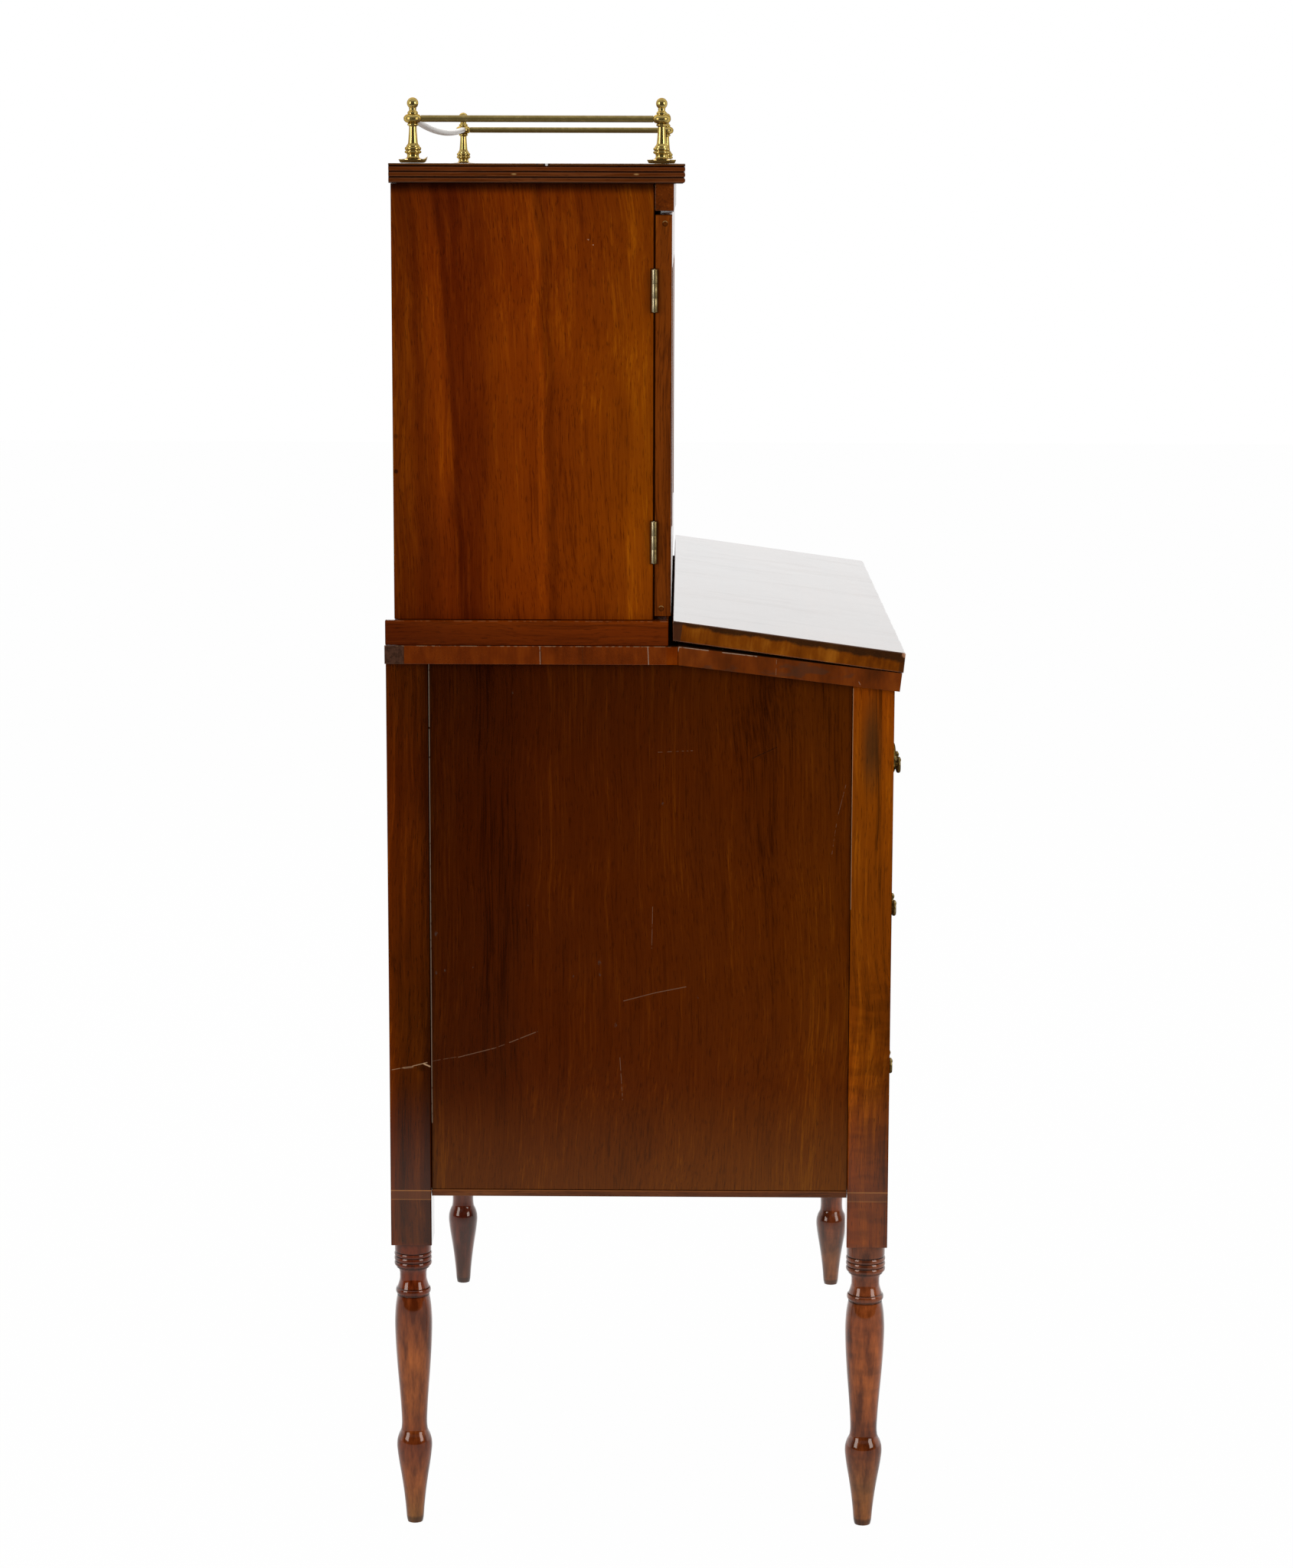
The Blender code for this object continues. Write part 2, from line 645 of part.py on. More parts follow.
def moving_knuckle(frame, length, width, knuckle):
    """Middle knuckle on its leaf, which is let into the wood that it turns with."""
    a, b = hinge_span(length, MOVING_SHARE)
    low = (a + SEAT, HINGE_TAB_BITE, SEAT)
    solid = board(low, (b - SEAT, width, SEAT + HINGE_LEAF_THICK))
    ring = bmesh.new()
    add_cylinder(ring, (a, 0.0, 0.0), (b, 0.0, 0.0), knuckle, BRASS_SIDES)
    solid = combine(solid, ring, "UNION")
    bmesh.ops.transform(solid, matrix=frame, verts=solid.verts)
    return solid


def knuckle_bore(frame, length):
    """Cutter for the bore of the middle knuckle."""
    a, b = hinge_span(length, MOVING_SHARE)
    bore = bmesh.new()
    near, far = (a - CUT_OVERRUN / 2, 0.0, 0.0), (b + CUT_OVERRUN / 2, 0.0, 0.0)
    add_cylinder(bore, near, far, HINGE_BORE_RADIUS, BRASS_SIDES)
    bmesh.ops.transform(bore, matrix=frame, verts=bore.verts)
    return bore


def leaf_housing(frame, length, width):
    """The shallow bed that a fixed leaf needs in the wood."""
    half = length / 2 + SEAT
    low = (-half, 0.0, -SEAT)
    solid = board(low, (half, width + SEAT, SEAT / 2 + HINGE_LEAF_THICK + SEAT))
    bmesh.ops.transform(solid, matrix=frame, verts=solid.verts)
    return solid


def barrel_housing(frame, length, knuckle):
    """The round room that a barrel needs in the edge of the wood."""
    half = length / 2 + SEAT
    solid = bmesh.new()
    radius = knuckle + SEAT + SEAT
    add_cylinder(solid, (-half, 0.0, 0.0), (half, 0.0, 0.0), radius, BRASS_SIDES)
    bmesh.ops.transform(solid, matrix=frame, verts=solid.verts)
    return solid


FIXED_SHARES = ((0.0, 1 / 3), (2 / 3, 1.0))
MOVING_SHARE = (1 / 3, 2 / 3)


# Case top, bed and flap

def flap_hinge_frame(x, angle, fixed):
    """Frame of one flap hinge half; angle is the slope of the face it is let into."""
    up_slope = Vector((0.0, math.cos(angle), math.sin(angle)))
    out = Vector((0.0, -math.sin(angle), math.cos(angle)))
    origin = Vector((x, FLAP_AXIS.y, FLAP_AXIS.z))
    if fixed:
        return hinge_frame(origin, Vector((-1.0, 0.0, 0.0)), up_slope, -out)
    return hinge_frame(origin, Vector((1.0, 0.0, 0.0)), up_slope, out)


def make_top(edge_wood, brass):
    """Level board of the case top, sloping bed, and the bed's halves of the hinges."""
    wide = SIDE_X + TOP_SIDE_OVERHANG
    back = BACK_Y + TOP_BACK_OVERHANG
    low = (-wide, BEND_Y + SEAT, TOP_HEIGHT - TOP_THICK)
    make_object("case_top", board(low, (wide, back, TOP_HEIGHT)), edge_wood)

    heel = BED_CORNER - OUT_OF_BED * TOP_THICK
    outline = (
        (heel.y, heel.z),
        (BEND_Y, bed_height(BEND_Y) - TOP_THICK / math.cos(BED_SLOPE)),
        (BEND_Y, TOP_HEIGHT),
        (BED_CORNER.y, BED_CORNER.z),
    )
    bed = bmesh.new()
    add_side_cut_board(bed, -wide, wide, outline)
    for name, sign in (("flap_hinge_left", -1), ("flap_hinge_right", 1)):
        frame = flap_hinge_frame(sign * FLAP_HINGE_X, BED_SLOPE, True)
        housing = leaf_housing(frame, FLAP_HINGE_LENGTH, FLAP_HINGE_LEAF)
        bed = combine(bed, housing, "DIFFERENCE")
        housing = barrel_housing(frame, FLAP_HINGE_LENGTH, FLAP_KNUCKLE_RADIUS)
        bed = combine(bed, housing, "DIFFERENCE")
        size = (FLAP_HINGE_LENGTH, FLAP_HINGE_LEAF, FLAP_KNUCKLE_RADIUS)
        make_object(name, fixed_leaf(frame, *size), brass, smooth=True)
    make_object("writing_bed", bed, edge_wood)


def make_flap(top_wood):
    """The leaf that folds forward, with the middle knuckles of its hinges."""
    pivot = make_pivot("flap_hinge_line", FLAP_AXIS)
    along = Vector((0.0, math.cos(FLAP_SLOPE), math.sin(FLAP_SLOPE)))
    out = Vector((0.0, -math.sin(FLAP_SLOPE), math.cos(FLAP_SLOPE)))
    toe = FLAP_AXIS + along * (FLAP_AXIS_REACH - FLAP_NOSE) + out * (SEAT / 2)
    nose = toe + out * FLAP_THICK
    rear = BEND_Y + FLAP_BACK_LAP
    rear_base = toe.z + (rear - toe.y) * math.tan(FLAP_SLOPE)
    rear_top = rear_base + FLAP_THICK / math.cos(FLAP_SLOPE)
    outline = ((toe.y, toe.z), (rear, rear_base), (rear, rear_top), (nose.y, nose.z))
    wide = SIDE_X + TOP_SIDE_OVERHANG
    flap = bmesh.new()
    add_side_cut_board(flap, -wide, wide, outline)
    for sign in (-1, 1):
        frame = flap_hinge_frame(sign * FLAP_HINGE_X, FLAP_SLOPE, False)
        housing = barrel_housing(frame, FLAP_HINGE_LENGTH, FLAP_KNUCKLE_RADIUS)
        flap = combine(flap, housing, "DIFFERENCE")
        size = (FLAP_HINGE_LENGTH, FLAP_HINGE_LEAF, FLAP_KNUCKLE_RADIUS)
        flap = combine(flap, moving_knuckle(frame, *size), "UNION")
        flap = combine(flap, knuckle_bore(frame, FLAP_HINGE_LENGTH), "DIFFERENCE")
    make_object("writing_flap", flap, top_wood, pivot)


# Drawers

def make_drawer(name, level, height, half_opening, setback, woods, brass):
    """A drawer: beaded front, box of four boards, oval plates and swinging bails. Its front
    stands behind the posts by the setback, the wear of its stops."""
    front_wood, hidden_wood = woods
    front = FRONT_Y + setback
    pivot = make_pivot("slide_" + name, (0.0, front, level + height / 2))
    half = half_opening - SLIDE_GAP
    base, top = level + SLIDE_GAP, level + height - SLIDE_GAP
    back = front + DRAWER_FRONT_THICK
    face = front - BEAD_PROUD

    def frame_ring(inset, y):
        left, right = -half + inset, half - inset
        low, high = base + inset, top - inset
        return [(left, y, low), (right, y, low), (right, y, high), (left, y, high)]

    solid = bmesh.new()
    rings = [frame_ring(0.0, back), frame_ring(0.0, face)]
    rings += [frame_ring(BEAD_WIDTH, face), frame_ring(BEAD_WIDTH, front)]
    add_loft(solid, rings)
    make_object(name + "_front", solid, front_wood, pivot)

    start = back + SEAT
    rear = PANEL_BACK_Y - DRAWER_BACK_SPACE
    foot = level + SEAT
    side_top = level + height - DRAWER_SIDE_DROP
    inner = half - DRAWER_SIDE_THICK
    reach = inner + DRAWER_SIDE_THICK / 2
    floor = foot + DRAWER_BOTTOM_RISE
    floor_top = floor + DRAWER_BOTTOM_THICK
    box = board((-reach, start, floor), (reach, rear - DRAWER_SIDE_THICK / 2, floor_top))
    back_low = (-reach, rear - DRAWER_SIDE_THICK, floor + DRAWER_BOTTOM_THICK / 2)
    back_board = board(back_low, (reach, rear - SEAT, side_top - DRAWER_BACK_DROP))
    box = combine(box, back_board, "UNION")
    for sign in (-1, 1):
        side_board = board((sign * half, start, foot), (sign * inner, rear, side_top))
        box = combine(box, side_board, "UNION")
    make_object(name + "_box", box, hidden_wood, pivot)

    centre = level + height / 2 + HANDLE_RAISE
    for side, sign in (("left", -1), ("right", 1)):
        plate = make_handle_plate(sign * HANDLE_X, front, centre)
        make_object(name + "_plate_" + side, plate, brass, pivot, smooth=True)
        axis = Vector((sign * HANDLE_X, front - BAIL_AXIS_REACH, centre))
        hook = make_pivot(name + "_bail_line_" + side, axis)
        hook.parent = pivot
        hook.location = axis - Vector(pivot.location)
        bail = make_bail(axis)
        make_object(name + "_bail_" + side, bail, brass, hook, smooth=True, base=axis)


def ellipse(x, y, z, half_width, half_height, sides):
    """A ring of points in the front view."""
    angles = [math.tau * i / sides for i in range(sides)]
    return [(x + half_width * math.cos(a), y, z + half_height * math.sin(a)) for a in angles]


PLATE_SHARES = ((1.00, 0.0), (1.00, 0.12), (0.95, 0.24), (0.88, 0.20), (0.80, 0.52), (0.66, 0.84),
                (0.45, 1.0))
PLATE_SIDES = 16


def make_handle_plate(x, front, z):
    """Oval plate with a rim, a high dome and two posts that are bored for the bail."""
    face = front - SEAT
    rings = []
    for size, proud in PLATE_SHARES:
        wide, tall = size * PLATE_WIDTH / 2, size * PLATE_HEIGHT / 2
        rings.append(ellipse(x, face - proud * PLATE_THICK, z, wide, tall, PLATE_SIDES))
    plate = bmesh.new()
    add_loft(plate, rings)
    axis_y = front - BAIL_AXIS_REACH
    tip = front - POST_REACH
    root = face - PLATE_THICK / 2
    for sign in (-1, 1):
        post_x = x + sign * POST_SPACING / 2
        post = bmesh.new()
        add_cylinder(post, (post_x, root, z), (post_x, tip, z), POST_RADIUS, BRASS_SIDES)
        reach = POST_RADIUS + CUT_OVERRUN
        bore = bmesh.new()
        near, far = (post_x - reach, axis_y, z), (post_x + reach, axis_y, z)
        add_cylinder(bore, near, far, POST_BORE_RADIUS, BRASS_SIDES)
        plate = combine(plate, combine(post, bore, "DIFFERENCE"), "UNION")
    return plate


def make_bail(axis):
    """A swinging handle: a bow in the front view that thickens towards its middle."""
    right = [(along * BAIL_WIDTH / 2, -drop * BAIL_DROP) for along, drop in BAIL_SHARES]
    left = [(-x, z) for x, z in reversed(right)]
    path = right + [(0.0, -BAIL_DROP)] + left
    rings = []
    for i, (x, z) in enumerate(path):
        before, after = path[max(i - 1, 0)], path[min(i + 1, len(path) - 1)]
        along = Vector((after[0] - before[0], 0.0, after[1] - before[1])).normalized()
        across = Vector((along.z, 0.0, -along.x))
        end = min(i, len(path) - 1 - i)
        radius = BAIL_PIN_RADIUS if end < 2 else BAIL_RADIUS
        ring = []
        for k in range(BRASS_SIDES - 2):
            angle = math.tau * k / (BRASS_SIDES - 2)
            offset = across * math.cos(angle) + Vector((0.0, 1.0, 0.0)) * math.sin(angle)
            ring.append(axis + Vector((x, 0.0, z)) + offset * radius)
        rings.append(ring)
    solid = bmesh.new()
    add_loft(solid, rings)
    return solid


# Cabinet

def make_cabinet_base(case_wood):
    """Thick board with a projecting edge, the foot and the floor of the cabinet."""
    wide = SIDE_X + PLINTH_OVERHANG
    low = (-wide, PLINTH_FRONT_Y, PLINTH_BASE)
    make_object("cabinet_base", board(low, (wide, BACK_Y, PLINTH_TOP)), case_wood)


def door_hinge_frame(sign, z, fixed):
    """Frame of one door hinge leaf on the left, sign -1, or right side of the cabinet."""
    origin = Vector((sign * DOOR_AXIS_X, DOOR_AXIS_Y, z))
    inward = Vector((-sign, 0.0, 0.0))
    face = Vector((0.0, 1.0 if fixed else -1.0, 0.0))
    along = inward.cross(face)
    return hinge_frame(origin, along, inward, face)


def door_hinge_heights():
    """Middles of a door's lower and upper hinge."""
    return (DOOR_BASE + DOOR_HINGE_INSET, DOOR_TOP - DOOR_HINGE_INSET)


def door_hinge_size():
    """Length, leaf width measured from the pin, and knuckle radius of a door hinge."""
    return (DOOR_HINGE_LENGTH, DOOR_HINGE_LEAF, DOOR_KNUCKLE_RADIUS)


def make_cabinet(side_wood, case_wood, hidden_wood, brass):
    """Sides with the fixed hinge halves, back, front rail and nest of pigeonholes."""
    base = PLINTH_TOP + SEAT
    for side, sign in (("left", -1), ("right", 1)):
        low = (sign * CABINET_INNER_X, CABINET_FRONT_Y, base)
        solid = board(low, (sign * CABINET_X, CABINET_BACK_Y, CABINET_TOP))
        for level, z in zip(("lower", "upper"), door_hinge_heights()):
            frame = door_hinge_frame(sign, z, True)
            housing = leaf_housing(frame, DOOR_HINGE_LENGTH, DOOR_HINGE_LEAF)
            solid = combine(solid, housing, "DIFFERENCE")
            leaf = fixed_leaf(frame, *door_hinge_size())
            make_object("door_hinge_%s_%s" % (side, level), leaf, brass, smooth=True)
        make_object("cabinet_side_" + side, solid, side_wood)

    inner = CABINET_INNER_X - SEAT
    low = (-inner, CABINET_BACK_BOARD_Y, base)
    high = (inner, CABINET_BACK_BOARD_Y + CABINET_BACK_THICK, CABINET_TOP)
    make_object("cabinet_back", board(low, high), hidden_wood)
    low = (-CABINET_X, CABINET_RAIL_FRONT_Y, CABINET_RAIL_BASE)
    high = (CABINET_X, CABINET_RAIL_FRONT_Y + CABINET_RAIL_THICK, CABINET_TOP)
    make_object("cabinet_top_rail", board(low, high), case_wood)
    make_pigeonholes(inner, base, case_wood)


def make_pigeonholes(inner, base, case_wood):
    """Nest of pigeonholes: a shelf on upright partitions, open to the doors."""
    shelf = base + SHELF_RISE
    top = shelf + SHELF_THICK
    pitch = (inner + inner - PIGEONHOLE_PARTITION) / PIGEONHOLES
    outline = [(-inner, top), (-inner, base)]
    for i in range(PIGEONHOLES):
        left = -inner + pitch * i + PIGEONHOLE_PARTITION
        right = -inner + pitch * (i + 1)
        outline += [(left, base), (left, shelf), (right, shelf), (right, base)]
    outline += [(inner, base), (inner, top)]
    solid = bmesh.new()
    front = CABINET_FRONT_Y + SHELF_SETBACK
    add_front_cut_board(solid, front, CABINET_BACK_BOARD_Y - SEAT, outline)
    make_object("pigeonholes", solid, case_wood)


def make_door(side, sign, wood, panel_wood):
    """A frame-and-panel door with the middle knuckles of its two hinges."""
    pivot = make_pivot("door_hinge_line_" + side, (sign * DOOR_AXIS_X, DOOR_AXIS_Y, DOOR_BASE))
    outer = CABINET_X
    inner = DOOR_MEETING_GAP / 2
    x_out = outer - DOOR_STILE
    x_in = inner + DOOR_STILE
    low = (sign * inner, DOOR_FRONT_Y, DOOR_BASE)
    frame_solid = board(low, (sign * outer, DOOR_BACK_Y, DOOR_TOP))
    low = (sign * x_in, DOOR_FRONT_Y - CUT_OVERRUN, DOOR_BASE + DOOR_RAIL)
    high = (sign * x_out, DOOR_BACK_Y + CUT_OVERRUN, DOOR_TOP - DOOR_RAIL)
    frame_solid = combine(frame_solid, board(low, high), "DIFFERENCE")
    for z in door_hinge_heights():
        frame = door_hinge_frame(sign, z, False)
        knuckle = moving_knuckle(frame, *door_hinge_size())
        frame_solid = combine(frame_solid, knuckle, "UNION")
        bore = knuckle_bore(frame, DOOR_HINGE_LENGTH)
        frame_solid = combine(frame_solid, bore, "DIFFERENCE")
    make_object("door_%s_frame" % side, frame_solid, wood, pivot)

    y0 = DOOR_FRONT_Y + DOOR_PANEL_SETBACK
    low = (sign * (x_in + SEAT), y0, DOOR_BASE + DOOR_RAIL + SEAT)
    high = (sign * (x_out - SEAT), y0 + DOOR_PANEL_THICK, DOOR_TOP - DOOR_RAIL - SEAT)
    make_object("door_%s_panel" % side, board(low, high), panel_wood, pivot)


# Cornice and gallery

def make_cornice(case_wood):
    """Board over the cabinet with reeds run along its front and side edges."""
    base = CABINET_TOP + SEAT
    edge = [(REED_DEPTH, base)]
    reed = (CORNICE_THICK - CORNICE_FILLET - CORNICE_FILLET) / REEDS
    for i in range(REEDS):
        for step in range(REED_STEPS + 1):
            turn = math.pi * step / REED_STEPS
            inset = REED_DEPTH * (1 - math.sin(turn))
            height = base + CORNICE_FILLET + reed * (i + (1 - math.cos(turn)) / 2)
            if step or not i:
                edge.append((inset, height))
    edge.append((0.0, edge[-1][1] + SEAT))
    edge.append((0.0, base + CORNICE_THICK))
    solid = bmesh.new()
    rings = []
    for inset, z in edge:
        x = CORNICE_X - inset
        front = CORNICE_FRONT_Y + inset
        rings.append([(-x, front, z), (x, front, z), (x, CORNICE_BACK_Y, z), (-x, CORNICE_BACK_Y, z)])
    add_loft(solid, rings)
    make_object("cornice", solid, case_wood)


def make_gallery(brass):
    """Turned brass posts joined by rods at the sides and a bowed rod at the back."""
    base = CORNICE_TOP + SEAT
    places = []
    for depth, y in (("back", GALLERY_BACK_Y), ("front", GALLERY_FRONT_Y)):
        for side, sign in (("left", -1), ("right", 1)):
            places.append(("gallery_post_%s_%s" % (depth, side), sign * GALLERY_X, y))
    for name, x, y in places:
        rings = []
        for height, radius in GALLERY_POST_SHARES:
            z = base + height * GALLERY_HEIGHT
            rings.append(circle((x, y, z), radius * GALLERY_FLANGE_RADIUS, POST_SIDES))
        solid = bmesh.new()
        add_loft(solid, rings)
        tip = solid.verts.new((x, y, base + GALLERY_HEIGHT))
        solid.verts.ensure_lookup_table()
        cap = max(solid.faces, key=lambda face: face.calc_center_median().z)
        crown = list(cap.verts)
        solid.faces.remove(cap)
        for a, b in zip(crown, crown[1:] + crown[:1]):
            solid.faces.new((a, b, tip))
        make_object(name, solid, brass, smooth=True)

    reach = GALLERY_KNOB_RADIUS + SEAT
    for side, sign in (("left", -1), ("right", 1)):
        solid = bmesh.new()
        start = (sign * GALLERY_X, GALLERY_FRONT_Y + reach, GALLERY_ROD_Z)
        end = (sign * GALLERY_X, GALLERY_BACK_Y - reach, GALLERY_ROD_Z)
        add_cylinder(solid, start, end, GALLERY_ROD_RADIUS, BRASS_SIDES)
        make_object("gallery_rod_" + side, solid, brass, smooth=True)

    half = GALLERY_X - reach
    rings = []
    for i in range(ROD_STEPS + 1):
        share = 2 * i / ROD_STEPS - 1
        drop = GALLERY_BACK_BOW * (1 - share * share)
        rise = 2 * GALLERY_BACK_BOW * share / half
        along = Vector((1.0, 0.0, rise)).normalized()
        across = Vector((-along.z, 0.0, along.x))
        centre = Vector((share * half, GALLERY_BACK_Y, GALLERY_ROD_Z - drop))
        ring = []
        for k in range(BRASS_SIDES):
            angle = math.tau * k / BRASS_SIDES
            offset = across * math.cos(angle) + Vector((0.0, 1.0, 0.0)) * math.sin(angle)
            ring.append(centre + offset * GALLERY_ROD_RADIUS)
        rings.append(ring)
    solid = bmesh.new()
    add_loft(solid, rings)
    make_object("gallery_rod_back", solid, brass, smooth=True)


def build():
    """Make the whole desk."""
    clear_scene()
    woods = {name: make_material(name, colour, rough, 0.0) for name, (colour, rough) in WOODS.items()}
    metals = {name: make_material(name, colour, rough, 1.0) for name, (colour, rough) in METALS.items()}
    case_wood, warm = woods["mahogany_case"], woods["mahogany_warm"]
    edge_wood, hidden = woods["mahogany_edge"], woods["secondary_pine"]
    gallery_brass, aged = metals["gallery_brass"], metals["aged_brass"]

    front_leg_y, back_leg_y = FRONT_Y + LEG_SQUARE / 2, BACK_Y - LEG_SQUARE / 2
    for side, sign in (("left", -1), ("right", 1)):
        make_leg("leg_front_" + side, sign, front_leg_y, woods["mahogany_leg"], True)
        make_leg("leg_back_" + side, sign, back_leg_y, woods["mahogany_leg"], False)
    make_case_panels(case_wood, hidden)
    make_case_bottom(case_wood)
    make_dust_frames(case_wood)
    make_top_rail(case_wood)
    make_loper_housings(case_wood)
    make_lopers(case_wood)
    make_top(edge_wood, aged)
    make_flap(edge_wood)
    drawers = (
        ("lower_drawer", LOWER_LEVEL, LOWER_DRAWER_HEIGHT, POST_INNER_X, LOWER_DRAWER_SETBACK),
        ("middle_drawer", MIDDLE_LEVEL, MIDDLE_DRAWER_HEIGHT, POST_INNER_X, MIDDLE_DRAWER_SETBACK),
        ("upper_drawer", UPPER_LEVEL, UPPER_DRAWER_HEIGHT, PARTITION_INNER_X, 0.0),
    )
    for name, level, height, half_opening, setback in drawers:
        make_drawer(name, level, height, half_opening, setback, (warm, hidden), aged)
    make_cabinet_base(case_wood)
    make_cabinet(warm, case_wood, hidden, aged)
    for side, sign in (("left", -1), ("right", 1)):
        make_door(side, sign, warm, case_wood)
    make_cornice(case_wood)
    make_gallery(gallery_brass)
    bpy.context.view_layer.update()


build()
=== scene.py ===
import math

import bpy
import numpy as np
from mathutils import Matrix, Vector


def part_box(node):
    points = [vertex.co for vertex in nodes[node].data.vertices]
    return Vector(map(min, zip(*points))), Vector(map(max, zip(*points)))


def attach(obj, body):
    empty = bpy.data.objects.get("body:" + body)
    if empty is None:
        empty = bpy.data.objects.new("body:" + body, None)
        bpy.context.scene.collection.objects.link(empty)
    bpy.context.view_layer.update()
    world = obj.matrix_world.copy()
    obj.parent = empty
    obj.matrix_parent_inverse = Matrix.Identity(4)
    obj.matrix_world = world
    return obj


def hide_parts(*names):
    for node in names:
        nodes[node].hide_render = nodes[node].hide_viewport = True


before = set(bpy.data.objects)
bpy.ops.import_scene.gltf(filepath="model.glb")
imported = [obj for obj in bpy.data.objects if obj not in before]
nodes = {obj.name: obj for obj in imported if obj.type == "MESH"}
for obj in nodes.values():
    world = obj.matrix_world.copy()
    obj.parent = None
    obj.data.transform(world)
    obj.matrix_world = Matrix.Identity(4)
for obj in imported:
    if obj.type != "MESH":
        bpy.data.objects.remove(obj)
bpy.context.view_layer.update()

# ---------------------------------------------------------------------------
# Legs and corner posts
# Each is one length of mahogany: a square post up the corner of the case that is turned on the
# lathe below it. Three reeds, a cove and a bead lead to a long vase and a bulbed foot. A band
# of cross-cut veneer between two pale lines is let into the post level with the case's bottom.

def node(tree, kind, inputs=(), **settings):
    """One shader node. Inputs are given by name or in order; values and sockets are linked."""
    made = tree.nodes.new("ShaderNode" + kind)
    for key, value in settings.items():
        setattr(made, key, value)
    for key, value in inputs.items() if isinstance(inputs, dict) else enumerate(inputs):
        value = getattr(value, "socket", value)
        if isinstance(value, bpy.types.NodeSocket):
            tree.links.new(value, made.inputs[key])
        else:
            made.inputs[key].default_value = value
    return made


def calc(operation, *values, clamp=False):
    """One sum on shader values and plain numbers."""
    tree = next(value.tree for value in values if isinstance(value, Value))
    return Value(node(tree, "Math", values, operation=operation, use_clamp=clamp).outputs[0])


class Value:
    """A number in a shader. It is summed like a plain number, and each sum is one Math node."""

    def __init__(self, socket):
        self.socket, self.tree = socket, socket.id_data

    def __add__(self, other):
        return calc("ADD", self, other)

    def __sub__(self, other):
        return calc("SUBTRACT", self, other)

    def __rsub__(self, other):
        return calc("SUBTRACT", other, self)

    def __mul__(self, other):
        return calc("MULTIPLY", self, other)

    def __truediv__(self, other):
        return calc("DIVIDE", self, other)

    def __abs__(self):
        return calc("ABSOLUTE", self)

    def __lt__(self, other):
        return calc("LESS_THAN", self, other)

    def __gt__(self, other):
        return calc("GREATER_THAN", self, other)


def vector(operation, *values):
    """One sum on vectors. A length or a dot product comes out as a value."""
    made = node(values[0].id_data, "VectorMath", values, operation=operation)
    number = operation in ("LENGTH", "DOT_PRODUCT")
    return Value(made.outputs["Value"]) if number else made.outputs["Vector"]


def fade(value, start, end, low=0.0, high=1.0):
    """Smooth step of a value: low at the start and high at the end, which may lie below it."""
    inputs = {"Value": value, "From Min": start, "From Max": end, "To Min": low, "To Max": high}
    return Value(node(value.tree, "MapRange", inputs, interpolation_type="SMOOTHSTEP").outputs[0])


def cloud(place, scale, detail=2.0, roughness=0.5):
    """Soft noise about one half."""
    inputs = {"Vector": place, "Scale": scale, "Detail": detail, "Roughness": roughness}
    return Value(node(place.id_data, "TexNoise", inputs).outputs["Fac"])


def opaque(colour):
    """A colour with its fourth number."""
    return (*colour, 1.0)


def blended(share, first, second, blend="MIX"):
    """Two colours blended by a share."""
    made = node(first.id_data, "Mix", {0: share, 6: first, 7: second}, data_type="RGBA",
                blend_type=blend)
    return made.outputs[2]


def ramped(value, tones, low=0.0, high=1.0, ease=False):
    """Colour that runs evenly through the tones while the value goes from low to high."""
    made = node(value.tree, "ValToRGB", [value])
    elements = made.color_ramp.elements
    if ease:
        made.color_ramp.interpolation = "EASE"
    while len(elements) < len(tones):
        elements.new(0.5)
    for k, tone in enumerate(tones):
        elements[k].position = low + (high - low) * k / (len(tones) - 1)
        elements[k].color = opaque(tone)
    return made.outputs[0]


